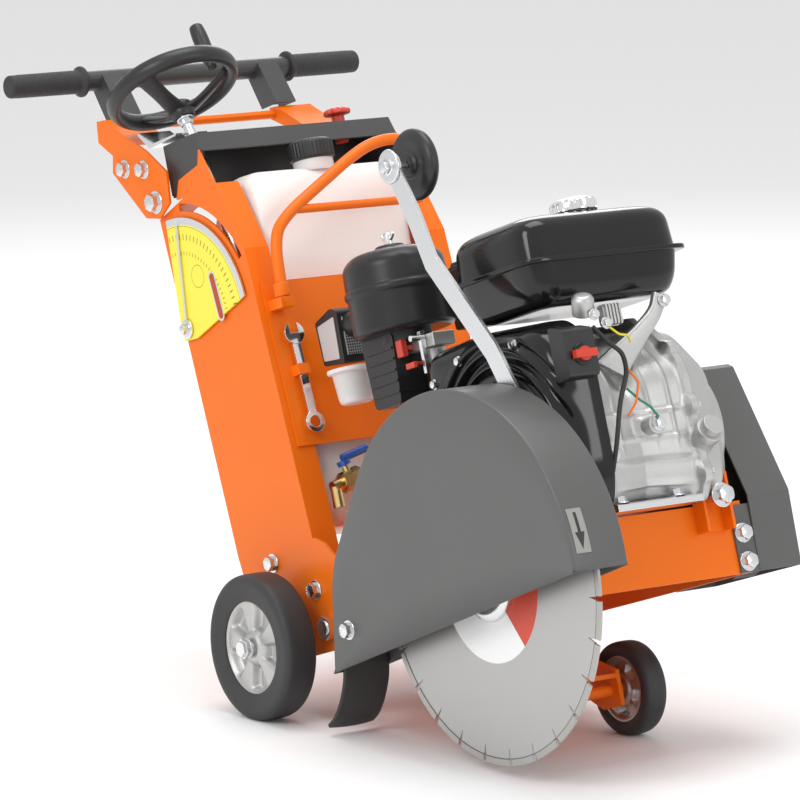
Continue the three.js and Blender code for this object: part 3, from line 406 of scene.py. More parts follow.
gaugeLook = {"centre": place((-119, -165, 438)).tolist(), "sketch": place((-73, -165, 500)).tolist(),
             "outer": 0.1385, "ticks": 20}


def makeGaugePrint():
    # two rows of ticks where the angle passes half steps, an arc, a small ring, and a bare metal rim
    material, tree, shader = newMaterial("gaugePrint")
    polar = useGroup(tree, polarGroup, Centre=tuple(gaugeLook["centre"]))
    radius, angle = polar.outputs["Radius"], polar.outputs["Angle"]
    steps = mathNode(tree, "FRACT", mathNode(tree, "MULTIPLY", angle, gaugeLook["ticks"] / 1.4))
    offTick = mathNode(tree, "ABSOLUTE", mathNode(tree, "SUBTRACT", steps, 0.5))
    tick = mathNode(tree, "LESS_THAN", offTick, 0.11)

    def band(low, high):
        return mathNode(tree, "MULTIPLY", mathNode(tree, "GREATER_THAN", radius, low),
                        mathNode(tree, "LESS_THAN", radius, high))

    rows = mathNode(tree, "ADD", band(0.118, 0.126), band(0.098, 0.103))
    marks = mathNode(tree, "MULTIPLY", tick, rows, clamp=True)
    sketch = useGroup(tree, polarGroup, Centre=tuple(gaugeLook["sketch"])).outputs["Radius"]
    offCircle = mathNode(tree, "ABSOLUTE", mathNode(tree, "SUBTRACT", sketch, 0.015))
    circle = mathNode(tree, "LESS_THAN", offCircle, 0.0006)
    lines = mathNode(tree, "ADD", band(0.1360, 0.1368), mathNode(tree, "MULTIPLY", circle, 0.8), clamp=True)
    ink = mathNode(tree, "ADD", marks, lines, clamp=True)
    grain = useGroup(tree, finishGroup, Colour=(0.92, 0.78, 0.06, 1), Shade=(0.86, 0.72, 0.05, 1), Gloss=0.34,
                     Gloss_Spread=0.06)
    rim = mathNode(tree, "GREATER_THAN", radius, gaugeLook["outer"])
    colour = mixColour(tree, mathNode(tree, "MULTIPLY", ink, 0.75), grain.outputs["Colour"],
                       (0.03, 0.03, 0.03, 1))
    tree.links.new(mixColour(tree, rim, colour, (0.75, 0.76, 0.78, 1)), shader.inputs["Base Color"])
    tree.links.new(rim, shader.inputs["Metallic"])
    tree.links.new(grain.outputs["Roughness"], shader.inputs["Roughness"])
    return material


looks["gaugePrint"] = makeGaugePrint()


def makeMesh():  # woven wire: two crossed sine rows, with the gaps cut dark
    material, tree, shader = newMaterial("wireMesh")
    split = tree.nodes.new("ShaderNodeSeparateXYZ")
    tree.links.new(objectPoint(tree), split.inputs[0])
    rows = []
    for side in ("Y", "Z"):
        wave = mathNode(tree, "SINE", mathNode(tree, "MULTIPLY", split.outputs[side], 900))
        rows.append(mathNode(tree, "ABSOLUTE", wave))
    wire = mathNode(tree, "MINIMUM", *rows)
    shown = mathNode(tree, "LESS_THAN", wire, 0.45)
    tree.links.new(mixColour(tree, shown, (0.03, 0.03, 0.03, 1), (0.62, 0.62, 0.62, 1)),
                   shader.inputs["Base Color"])
    tree.links.new(mathNode(tree, "MULTIPLY", shown, 0.6), shader.inputs["Metallic"])
    shader.inputs["Roughness"].default_value = 0.45
    bumpInto(tree, shader, shown, 0.0006)
    return material


looks["wireMesh"] = makeMesh()
print("finishes ready:", len(looks))


# ---- surfaces
def around(count):  # even angles once round a circle
    return np.arange(count) / count * 2 * np.pi


def sideways(angle):  # the direction at each angle in the plane across the machine, from forwards to up
    return np.stack([np.cos(angle), 0 * angle, np.sin(angle)], -1)


def rising(values):  # a smooth step from 0 to 1
    return 1 / (1 + np.exp(-values))


def grid(points, wrapColumns=False, wrapRows=False, capStart=False, capEnd=False):
    # quads between neighbouring rows and columns of an array of points, closed round either way if asked
    rows, columns = points.shape[:2]
    row = np.arange(rows if wrapRows else rows - 1)[:, None]
    column = np.arange(columns if wrapColumns else columns - 1)[None, :]
    below, right = (row + 1) % rows, (column + 1) % columns
    faces = np.stack([row * columns + column, row * columns + right, below * columns + right,
                      below * columns + column], -1).reshape(-1, 4).tolist()
    if capStart:
        faces.append(list(range(columns))[::-1])
    if capEnd:
        faces.append(list(range((rows - 1) * columns, rows * columns)))
    return points.reshape(-1, 3), faces


def squareTo(axis):  # two directions at right angles to an axis
    axis = np.asarray(axis, float) / np.linalg.norm(axis)
    helper = np.array((0, 0, 1.0)) if abs(axis[2]) < 0.9 else np.array((1.0, 0, 0))
    first = np.cross(helper, axis)
    first /= np.linalg.norm(first)
    return axis, first, np.cross(axis, first)


def rounded(corners, radius, steps=5, closed=False):
    # each corner becomes a parabola from `radius` before it to `radius` after it, at most half an edge
    corners = np.asarray(corners, float)
    before = np.roll(corners, 1, 0) - corners
    after = np.roll(corners, -1, 0) - corners
    lengths = [np.linalg.norm(v, axis=1, keepdims=True) + 1e-9 for v in (before, after)]
    radius = np.broadcast_to(np.asarray(radius, float), len(corners))[:, None]
    start = corners + before / lengths[0] * np.minimum(radius, lengths[0] * 0.49)
    end = corners + after / lengths[1] * np.minimum(radius, lengths[1] * 0.49)
    t = np.linspace(0, 1, steps)[None, :, None]
    curve = (1 - t) ** 2 * start[:, None] + 2 * t * (1 - t) * corners[:, None] + t ** 2 * end[:, None]
    if closed:
        return curve.reshape(-1, corners.shape[1])
    return np.concatenate([corners[:1], curve[1:-1].reshape(-1, corners.shape[1]), corners[-1:]])


def turned(profile, origin, axis, sides=64, start=0.0):
    # every (radius, height) of the profile goes round the axis: origin + height * axis + radius * (cos, sin)
    profile = np.asarray(profile, float)
    axis, first, second = squareTo(axis)
    angle = start + around(sides)
    ring = np.cos(angle)[:, None] * first + np.sin(angle)[:, None] * second
    points = np.asarray(origin, float) + profile[:, 1, None, None] * axis + profile[:, 0, None, None] * ring
    return grid(points, wrapColumns=True)


def tubeAlong(path, radius, sides=20, up=(0, 1, 0), closed=False):
    # a circle of the radius, square to the path's direction, carried along it
    path = np.asarray(path, float)
    along = (np.roll(path, -1, 0) - np.roll(path, 1, 0)) if closed else np.gradient(path, axis=0)
    along /= np.linalg.norm(along, axis=1, keepdims=True)
    first = np.cross(np.broadcast_to(np.asarray(up, float), along.shape), along)
    first /= np.linalg.norm(first, axis=1, keepdims=True)
    second = np.cross(along, first)
    angle = around(sides)
    radius = np.broadcast_to(np.asarray(radius, float), len(path))[:, None, None]
    ring = np.cos(angle)[:, None] * first[:, None] + np.sin(angle)[:, None] * second[:, None]
    return grid(path[:, None] + radius * ring, wrapColumns=True, wrapRows=closed, capStart=not closed,
                capEnd=not closed)


def spread(points, count):  # a polyline walked at even steps
    points = np.asarray(points, float)
    length = np.concatenate([[0], np.cumsum(np.linalg.norm(np.diff(points, axis=0), axis=1))])
    steps = np.linspace(0, length[-1], count)
    return np.stack([np.interp(steps, length, points[:, k]) for k in range(points.shape[1])], -1)


def plateAcross(outline, y0, y1):  # an outline in forwards and up, with its two faces at y0 and y1
    outline = np.asarray(outline, float)
    layers = [np.stack([outline[:, 0], np.full(len(outline), y), outline[:, 1]], -1) for y in (y0, y1)]
    return grid(np.stack(layers), wrapColumns=True, capStart=True, capEnd=True)


def hexBolt(origin, axis, size, washer=1.0, length=0.0):
    # the head's radius is the hexagon's at that angle, cut by a cone near its top; the rest is turned
    across, height = size * 0.5 / math.cos(math.pi / 6), size * 0.50
    angle = around(36)
    hexagon = size * 0.5 / np.cos((angle + math.pi / 6) % (math.pi / 3) - math.pi / 6)
    cone = np.array([across * 1.1, across * 1.1, across * 0.93, across * 0.86, 0.001])[:, None]
    radius = np.minimum(hexagon[None], cone)
    level = np.array([0, height * 0.86, height * 0.97, height, height])[:, None]
    axis, first, second = squareTo(axis)
    base = np.asarray(origin, float) + axis * washer
    ring = np.cos(angle)[:, None] * first + np.sin(angle)[:, None] * second
    parts = [grid(base + level[..., None] * axis + radius[..., None] * ring, wrapColumns=True)]
    if washer:
        edge = size * 0.74
        profile = [(0, 0), (edge, 0), (edge, washer * 0.7), (edge * 0.97, washer), (0, washer)]
        parts.append(turned(profile, origin, axis, 36))
    if length:
        profile = [(0, -length), (size * 0.27, -length), (size * 0.3, -length + 1), (size * 0.3, 0), (0, 0)]
        parts.append(turned(profile, origin, axis, 20))
    return parts


def zincBolts(spots, axis, washer, length=0.0):  # each spot is a place and a size across the flats
    return [(part, "zincPlate") for spot, size in spots for part in hexBolt(spot, axis, size, washer, length)]


def build(name, parts, body, stands=(), bevel=0.0, bevelSteps=2, smooth=38, flip=True):
    # parts are ((points, faces), look); all go in one mesh, doubles merged and faces turned outwards
    labels, points, faces, picks, count = [], [], [], [], 0
    for (own, ownFaces), look in parts:
        if look not in labels:
            labels.append(look)
        points.append(own)
        faces += [[i + count for i in face] for face in ownFaces]
        picks += [labels.index(look)] * len(ownFaces)
        count += len(own)
    mesh = bpy.data.meshes.new(name)
    mesh.from_pydata(place(np.concatenate(points)).tolist(), [], faces)
    mesh.polygons.foreach_set("material_index", picks)
    for label in labels:
        mesh.materials.append(looks[label])
    work = bmesh.new()
    work.from_mesh(mesh)
    bmesh.ops.remove_doubles(work, verts=work.verts, dist=2e-6)
    bmesh.ops.dissolve_degenerate(work, edges=work.edges, dist=1e-6)
    if flip:
        bmesh.ops.recalc_face_normals(work, faces=work.faces)
    work.to_mesh(mesh)
    work.free()
    return finishPiece(name, mesh, body, stands, bevel, bevelSteps, smooth)


def finishPiece(name, mesh, body, stands, bevel, bevelSteps, smooth):
    piece = bpy.data.objects.new(name, mesh)
    bpy.context.scene.collection.objects.link(piece)
    mesh.polygons.foreach_set("use_smooth", [True] * len(mesh.polygons))
    mesh.set_sharp_from_angle(angle=math.radians(smooth))
    if bevel:
        edge = piece.modifiers.new("edges", "BEVEL")
        edge.width, edge.segments, edge.limit_method = bevel / 1000, bevelSteps, "ANGLE"
        edge.angle_limit = math.radians(32)
        edge.harden_normals = True
    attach(piece, body)
    if stands:
        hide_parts(*stands)
    return piece


def fromNode(name, node, look, bevel=0.8, bevelSteps=2, smooth=30):
    # the node's own shape, merged and cleared of edges between level faces, with its edges rounded
    source = frame["nodes"][node]
    mesh = source.data.copy()
    mesh.name = name
    mesh.materials.clear()
    mesh.materials.append(looks[look])
    mesh.polygons.foreach_set("material_index", [0] * len(mesh.polygons))
    work = bmesh.new()
    work.from_mesh(mesh)
    bmesh.ops.remove_doubles(work, verts=work.verts, dist=2e-6)
    bmesh.ops.dissolve_limit(work, angle_limit=math.radians(0.6), verts=work.verts, edges=work.edges)
    work.to_mesh(mesh)
    work.free()
    return finishPiece(name, mesh, source["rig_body"], (node,), bevel, bevelSteps, smooth)


# ---- sheet work and castings that keep their own outlines
# for each finish and slot: the name, the CAD node and how wide its edges are rounded, in millimetres
sheetWork = {
    ("orangePaint", "orange_paint"): [("chassisSheets", "chassis_frame", 1.0),
        ("columnRight", "column_right", 1.6), ("columnLeft", "column_left", 1.6),
        ("panelAcross", "cross_panel", 0.8), ("handleBrackets", "handle_bracket", 0.8),
        ("frontCarriage", "front_axle", 0.8)],
    ("darkPaint", "grey_paint"): [("consoleSheet", "console_beam", 0.9)],
    ("guardPaint", "grey_paint"): [("beltGuardShell", "belt_guard", 1.2)],
    ("castAluminium", "cast_aluminium"): [("cylinderFins", "cylinder_head", 1.0),
        ("carburettorBody", "carburettor", 1.5), ("flywheelFan", "flywheel", 1.0),
        ("enginePulley", "engine_pulley", 0.5), ("bladePulley", "blade_pulley", 0.5),
        ("bearingRight", "shaft_bearing_right", 1.5), ("bearingLeft", "shaft_bearing_left", 1.5)],
    ("muffler", "black_paint"): [("mufflerBox", "muffler", 5.0)],
    ("zincPlate", "zinc"): [("spindlePlate", "spindle_bracket", 0.6), ("pointerBar", "pointer_arm", 0.9),
        ("throttleLever", "throttle_lever", 0.5), ("axlePivotPin", "axle_pivot_pin", 0.8),
        ("rearAxleBar", "rear_axle", 0.8), ("depthScrew", "depth_screw", 0.5), ("liftRod", "lift_rod", 0.5)],
    ("gaugePrint", "yellow_plastic"): [("gaugePlate", "depth_scale", 0.4)],
    ("chromePlate", "zinc"): [("spannerTool", "spanner", 1.6)],
    ("blackPlastic", "black_plastic"): [("starterHandle", "recoil_handle", 3.0)],
    ("redPlastic", "red_plastic"): [("chokeLever", "choke_lever", 1.2), ("fuelLever", "fuel_lever", 1.2),
        ("stopSwitch", "engine_switch", 1.5)],
    ("castAluminium", "black_plastic"): [("dipstickCap", "oil_dipstick", 1.2)],
    ("tyreRubber", "belt_rubber"): [("driveBelts", "drive_belts", 0.4)],
    ("zincPlate", "blade_steel"): [("bladeShaft", "blade_shaft", 0.8)],
    ("brassFitting", "brass"): [("valveBody", "water_valve", 0.8)],
    ("bluePlastic", "blue_plastic"): [("valveLever", "water_valve_lever", 1.5)],
}
for (look, slot), sheets in sheetWork.items():
    for name, node, bevel in sheets:
        fromNode(name, node, look, bevel)
print("sheet work and castings:", sum(map(len, sheetWork.values())))


# ---- wheels: a tyre, and a cast rim with broad spokes
rearWheelSize = {"tyre": 95, "rim": 63, "half": 24, "bore": 10, "spokes": 5, "deep": 12, "phase": 0.25}
frontWheelSize = {"tyre": 60, "rim": 42, "half": 18, "bore": 8, "spokes": 5, "deep": 8, "phase": 0.1}


def wheelParts(size, centre):
    # tyre: a turned section with round shoulders. rim: a turned section pressed in between the spokes
    tyre, rim, half, bore = size["tyre"], size["rim"], size["half"], size["bore"]
    section = rounded([(rim - 3, -half + 5), (rim + 1, -half + 3.5), (tyre - 9, -half), (tyre - 2, -half + 3),
                       (tyre, -half + 9), (tyre, half - 9), (tyre - 2, half - 3), (tyre - 9, half),
                       (rim + 1, half - 3.5), (rim - 3, half - 5)], [0, 2, 6, 5, 6, 6, 5, 6, 2, 0], 6)
    parts = [(turned(np.concatenate([section, section[:1]]), centre, (0, 1, 0), 96), "tyreRubber")]
    steps, sides = 26, 200
    radius = np.linspace(bore + 0.4, rim, steps)
    angle = around(sides)
    wave = np.cos((angle - size["phase"]) * size["spokes"])
    pocket = rising(-(wave[None] + 0.05 + (radius[:, None] - rim) * 0.004) * 9)
    inner = rising((radius - bore - 15) * 1.1)
    outer = rising(-(radius - rim + 9) * 1.1)
    press = pocket * (inner * outer)[:, None] * size["deep"]
    hub = (rising(-(radius - bore - 9) * 1.2) * 4)[:, None]
    lip = (rising((radius - rim + 4) * 1.4) * 3)[:, None]
    level = half * 0.62 - press + hub + lip
    ring = sideways(angle)
    flat = np.asarray(centre, float) + radius[:, None, None] * ring
    near, far = flat.copy(), flat.copy()
    near[..., 1] -= level
    far[..., 1] += level
    whole = np.concatenate([near, far[::-1]])
    parts.append((grid(whole, wrapColumns=True, wrapRows=True), "castAluminium"))
    return parts


def makeWheels():
    for side, label in ((-1, "right"), (1, "left")):
        for end, size in (("rear", rearWheelSize), ("front", frontWheelSize)):
            node = f"{end}_wheel_{label}"
            centre = onChassis(jointNamed[f"{node}_spin"]["pos_m"])
            build(f"{end}Wheel.{label}", wheelParts(size, centre), node, (node,))
            if end == "rear":
                nut = zincBolts([(centre + (0, side * size["half"], 0), 19)], (0, side, 0), 2.0)
                build(f"hubNut.{label}", nut, "machine", (), 0.3)


makeWheels()
print("wheels made")

# ---- saw blade: a slotted core with cutting segments
bladeSize = {"core": 217, "segment": 225, "slots": 26, "slotWidth": 1.6, "slotDepth": 15, "half": 1.2,
             "segmentHalf": 1.7}


def makeBlade():
    # the core's edge is the rim radius, or the slot's bottom near a slot. each segment is a bent box
    centre = onChassis(bladeLook["centre"])
    s = bladeSize
    sides = s["slots"] * 24
    angle = around(sides)
    phase = (angle * s["slots"] / (2 * np.pi)) % 1
    offCentre = np.abs(phase - np.round(phase)) * 2 * np.pi / s["slots"] * s["core"]
    edge = np.where(offCentre < s["slotWidth"] * 1.3, s["core"] - s["slotDepth"], s["core"])
    levels = [13.0, 90.0, 160.0, s["core"] - s["slotDepth"] - 1]
    radii = np.stack([np.full(sides, level) for level in levels] + [edge])
    ring = sideways(angle)
    face = centre + radii[..., None] * ring
    near, far = face - (0, s["half"], 0), face + (0, s["half"], 0)
    parts = [(grid(np.concatenate([near, far[::-1]]), wrapColumns=True, wrapRows=True), "bladeSteel")]
    step = 2 * np.pi / s["slots"]
    low, high, half = s["core"] - 1, s["segment"], s["segmentHalf"]
    for start in np.arange(s["slots"]) * step:
        arc = sideways(start + np.linspace(0.06, 0.94, 9) * step)
        corners = ((low, -half), (high, -half), (high, half), (low, half))
        block = np.stack([centre + r * arc + (0, y, 0) for r, y in corners], 1)
        parts.append((grid(block, wrapColumns=True, capStart=True, capEnd=True), "bladeSteel"))
    build("sawBlade", parts, "blade_spindle", ("saw_blade",))
    boss = centre - (0, 1.5, 0)
    flange = rounded([(0, -10), (40, -10), (48, -6), (48, -0.3), (0, -0.3)], [0, 3, 2, 0, 0], 4)
    build("outerFlange", [(turned(flange, boss, (0, 1, 0), 72), "zincPlate")], "blade_spindle",
          ("outer_flange",))


makeBlade()
print("blade made")

# ---- blade guard: two side plates ruled between the open foot and the arch, joined by a rolled rim
guardSize = {"x": 462, "z": 4, "radius": 243, "outer": -219, "inner": -139, "fold": 3.5, "sheet": 2.5,
             "startDegrees": -4.5, "endDegrees": 137}


def makeGuard():
    # the arch is an arc, a straight and a bend; the section runs up one side, round the fold, across and down
    g = guardSize
    sweep = np.radians(np.linspace(g["startDegrees"], g["endDegrees"], 60))
    arc = np.stack([g["x"] + g["radius"] * np.cos(sweep), g["z"] + g["radius"] * np.sin(sweep)], -1)
    tail = arc[-1] + (-74, -79)
    t = np.linspace(0, 1, 14)[1:, None]
    bend = (1 - t) ** 2 * tail + 2 * t * (1 - t) * np.array((190, 66)) + t ** 2 * np.array((182, 36))
    drop = np.array([(156, -58)])
    arch = spread(np.concatenate([arc, bend, drop]), 120)
    along = np.gradient(arch, axis=0)
    outward = np.stack([along[:, 1], -along[:, 0]], -1) / np.linalg.norm(along, axis=1, keepdims=True)
    first, last = arch[0], arch[-1]
    share = np.linspace(0, 1, len(arch))[:, None]
    foot = first + (last - first) * share
    fold = g["fold"]
    turn = np.linspace(0, np.pi / 2, 5)
    sides = []
    for y, sign in ((g["outer"], 1), (g["inner"], -1)):
        corner = [(arch - outward * fold * (1 - math.sin(a)), y + sign * fold * (1 - math.cos(a)))
                  for a in turn]
        plate = [(foot + (arch - outward * fold - foot) * k, y) for k in (0, 0.25, 0.5, 0.75)]
        sides.append(plate + corner)
    section = sides[0] + sides[1][::-1]
    points = np.stack([np.stack([line[:, 0], np.full(len(line), y), line[:, 1]], -1) for line, y in section])
    piece = build("bladeGuard", [(grid(points), "guardPaint")], "machine", ("blade_guard",),
                  smooth=45)
    wall = piece.modifiers.new("sheet", "SOLIDIFY")
    wall.thickness, wall.offset = g["sheet"] / 1000, -1


makeGuard()
print("guard made")

# ---- fuel tank: two pressed shells on a seam
tankSize = {"centre": (478.5, 22.5), "half": (93.5, 122.5), "bottom": 323, "seam": 379, "top": 441,
            "cap": (492, 40)}


def shellRows(levels, centre, half, power, sides=120):
    # every level is a superellipse |x/a|^n + |y/b|^n = 1, drawn in by that level's inset
    angle = around(sides)
    c, s = np.cos(angle), np.sin(angle)
    scale = (np.abs(c) ** power + np.abs(s) ** power) ** (-1 / power)
    rows = [np.stack([centre[0] + (half[0] - inset) * c * scale, centre[1] + (half[1] - inset) * s * scale,
                      np.full(sides, z)], -1) for inset, z in levels]
    return grid(np.stack(rows), wrapColumns=True, capStart=True, capEnd=True)


def makeFuelTank():
    t = tankSize
    bottom, seam, top = t["bottom"], t["seam"], t["top"]
    x, y = t["cap"]
    lower = rounded([(60, bottom + 2), (20, bottom), (8, bottom + 20), (3, seam - 3)], [0, 18, 14, 0], 8)
    upper = rounded([(3, seam + 2), (6, top - 14), (26, top - 2), (60, top)], [0, 14, 14, 0], 8)
    lip = rounded([(10, seam - 3), (-4.5, seam - 3), (-4.5, seam + 3), (10, seam + 3)], [0, 1.5, 1.5, 0], 4)
    parts = [(shellRows(rows, t["centre"], t["half"], power), "blackEnamel")
             for rows, power in ((lower, 7), (upper, 7), (lip, 9))]
    neck = rounded([(0, top + 8), (24, top + 8), (24, top - 3), (0, top - 3)], 1.5)
    parts.append((turned(neck, (x, y, 0), (0, 0, 1), 48), "blackEnamel"))
    build("fuelTank", parts, "machine", ("fuel_tank",))
    knurl = around(96)
    wave = 1 + 0.035 * np.sign(np.cos(knurl * 16))
    profile = rounded([(0, 22), (22, 22), (29, 18), (30, 5), (27, 2), (25, 2)], [0, 3, 4, 2, 1, 0], 5)
    radius = profile[:, 0, None] * np.where((profile[:, 0] > 27)[:, None], wave[None], 1)
    level = np.broadcast_to(top + profile[:, 1, None], radius.shape)
    points = np.stack([x + radius * np.cos(knurl), y + radius * np.sin(knurl), level], -1)
    build("fuelCap", [(grid(points, wrapColumns=True), "chromePlate")], "fuel_cap", ("fuel_cap",))


makeFuelTank()
print("fuel tank made")

# ---- air cleaner: pressed drum with a rolled seam, inlet bowl and wing nut
cleanerSpot = (246, -75, 0)


def makeAirCleaner():
    x, y = cleanerSpot[:2]
    drum = rounded([(0, 352), (60, 352), (66, 356), (66, 402), (69, 405), (69, 411), (66.5, 414), (66, 444),
                    (52, 457), (20, 462), (18, 466), (0, 466)], [0, 5, 4, 2, 2, 2, 2, 8, 8, 3, 2, 0], 5)
    base = [(0, 340.5), (34, 340.5), (34, 353), (0, 353)]
    stud = rounded([(0, 482), (4, 482), (6, 479), (6, 466), (0, 466)], 1)
    parts = [(turned(profile, cleanerSpot, (0, 0, 1), sides), look)
             for profile, sides, look in ((drum, 96, "satinBlack"), (base, 48, "blackPlastic"),
                                          (stud, 24, "zincPlate"))]
    wing = spread(rounded([(-13, 480), (-9, 474), (0, 472), (9, 474), (13, 480)], 3), 24)
    parts.append((tubeAlong(np.stack([x + wing[:, 0], np.full(24, y), wing[:, 1]], -1), 2.2, 12),
                  "zincPlate"))
    neck = spread([(128, -84, 384), (150, -82, 384), (200, -80, 380)], 12)
    parts.append((tubeAlong(neck, 17, 32), "satinBlack"))
    housing = rounded([(92, 340), (140, 336), (142, 404), (128, 410), (88, 398)], 4, 4, closed=True)
    parts.append((plateAcross(housing, -104, -58), "satinBlack"))
    window = rounded([(96, 346), (132, 343), (134, 398), (94, 392)], 2, 3, closed=True)
    parts.append((plateAcross(window, -105.2, -100), "wireMesh"))
    parts.append((plateAcross([(141, 346), (143.4, 346), (143.4, 396), (141, 396)], -98, -64), "wireMesh"))
    cowl = rounded([(196, 262), (256, 262), (262, 352), (190, 352)], 8, 5, closed=True)
    parts.append((plateAcross(cowl, -108, -44), "satinBlack"))
    parts += [(plateAcross([(200, z), (258, z), (258, z + 3), (200, z + 3)], -110, -42), "satinBlack")
              for z in range(276, 333, 14)]
    build("airCleaner", parts, "machine", ("air_cleaner",))
    bowl = rounded([(0, 283), (20, 284), (23, 290), (26, 324), (32, 326), (32, 331), (24, 331), (20, 292),
                    (0, 289)],
                   [0, 4, 4, 2, 1, 1, 1, 4, 0], 5)
    build("dustBowl", [(turned(bowl, (122, -84, 0), (0, 0, 1), 72), "tankPlastic")], "machine",
          ("dust_bowl",))


makeAirCleaner()
print("air cleaner made")

# ---- water tank: a blow-moulded wall, its cap and neck
waterTankSize = {"half": 116, "edge": 22}


def makeWaterTank():
    # the side outline, drawn in towards its middle near each end so that the long edges are round
    outline = rounded([(-86, 136), (40, 136), (52, 150), (28.2, 440), (30, 585), (20, 617), (-60, 621),
                       (-102, 560), (-104, 440)], [20, 20, 14, 40, 30, 16, 30, 30, 40], 8, closed=True)
    outline = spread(np.concatenate([outline, outline[:1]]), 161)[:-1]
    middle = outline.mean(0)
    away = outline - middle
    away /= np.linalg.norm(away, axis=1, keepdims=True)
    half, edge = waterTankSize["half"], waterTankSize["edge"]
    turn = np.linspace(0, np.pi / 2, 8)
    stations = [(-o, i) for o, i in zip(half - edge * (1 - np.cos(turn)), edge * (1 - np.sin(turn)))]
    stations += [(-y, i) for y, i in stations[::-1]]
    rows = []
    for y, inset in stations:
        drawn = outline - away * inset
        rows.append(np.stack([drawn[:, 0], np.full(len(outline), y), drawn[:, 1]], -1))
    parts = [(grid(np.stack(rows), wrapColumns=True, capStart=True, capEnd=True), "tankPlastic")]
    neck = rounded([(0, 628), (27, 628), (27, 612), (0, 612)], 1.0)
    parts.append((turned(neck, (0, 0, 0), (0, 0, 1), 64), "tankPlastic"))
    build("waterTank", parts, "machine", ("water_tank",), smooth=50)
    ribs = around(216)
    wave = 1 + 0.018 * np.sign(np.cos(ribs * 36))
    profile = rounded([(0, 655), (25, 655), (30.3, 651), (30.3, 630), (28, 628.4), (0, 628.4)],
                      [0, 2, 3, 2, 1, 0], 5)
    radius = profile[:, 0, None] * np.where((profile[:, 0] > 29)[:, None], wave[None], 1)
    level = np.broadcast_to(profile[:, 1, None], radius.shape)
    points = np.stack([radius * np.cos(ribs), radius * np.sin(ribs), level], -1)
    build("waterCap", [(grid(points, wrapColumns=True), "blackPlastic")], "water_cap", ("water_cap",),
          smooth=60)


makeWaterTank()
print("water tank made")

# ---- handlebar, grips, stop button
barSize = {"x": -268, "z": 811, "half": 282, "tube": 13.6, "grip": 15.6, "gripLength": 118}


def makeHandlebar():
    b = barSize
    path = spread([(b["x"], -b["half"] + 5, b["z"]), (b["x"], b["half"] - 5, b["z"])], 30)
    parts = [(tubeAlong(path, b["tube"], 32, up=(0, 0, 1)), "darkPaint")]
    build("handlebarTube", parts, "handles", ())
    fromNode("handlebarArms", "handlebar", "darkPaint", 1.2)
    length = b["gripLength"]
    profile = rounded([(0, 0), (b["grip"], 0), (b["grip"] + 0.3, length - 10), (b["grip"] + 5.5, length - 6),
                       (b["grip"] + 5.5, length - 1), (b["tube"] + 0.6, length)], [0, 5, 3, 2, 2, 0], 6)
    body = spread(profile, 160)
    groove = np.where((body[:, 1] > 14) & (body[:, 1] < length - 16),
                      0.35 * np.cos(body[:, 1] * 2 * np.pi / 5.0), 0)
    body[:, 0] = np.maximum(body[:, 0] + groove, 0)
    for side, label in ((-1, "right"), (1, "left")):
        grip = turned(body, (b["x"], side * b["half"], b["z"]), (0, -side, 0), 48)
        build(f"grip.{label}", [(grip, "gripRubber")], "handles", (f"grip_{label}",), smooth=60)


makeHandlebar()


def makeStopButton():
    profile = rounded([(0, -34), (9, -34), (9, 3), (19, 5), (19, 11), (12, 14), (0, 14.5)],
                      [0, 1, 1, 2, 3, 4, 0], 6)
    angle = around(96)
    lobes = 1 - 0.05 * (1 + np.cos(angle * 12))[None]
    radius = profile[:, 0, None] * np.where((profile[:, 0] > 15)[:, None], lobes, 1)
    points = np.stack([-62 + radius * np.cos(angle), 95 + radius * np.sin(angle),
                       np.broadcast_to(693 + profile[:, 1, None], radius.shape)], -1)
    build("stopButton", [(grid(points, wrapColumns=True), "redPlastic")], "stop_button", ("stop_button",))


makeStopButton()
print("handlebar and button made")

# ---- handwheel: dished spokes into a thick rim, and a turning knob
handwheelSize = {"radius": 82.5, "dish": 37, "rim": (9.5, 12.0), "lean": 20.0}
leanTurn = math.radians(handwheelSize["lean"])
wheelAxis = np.array((-math.sin(leanTurn), 0, math.cos(leanTurn)))
wheelAcross = np.array((math.cos(leanTurn), 0, math.sin(leanTurn)))


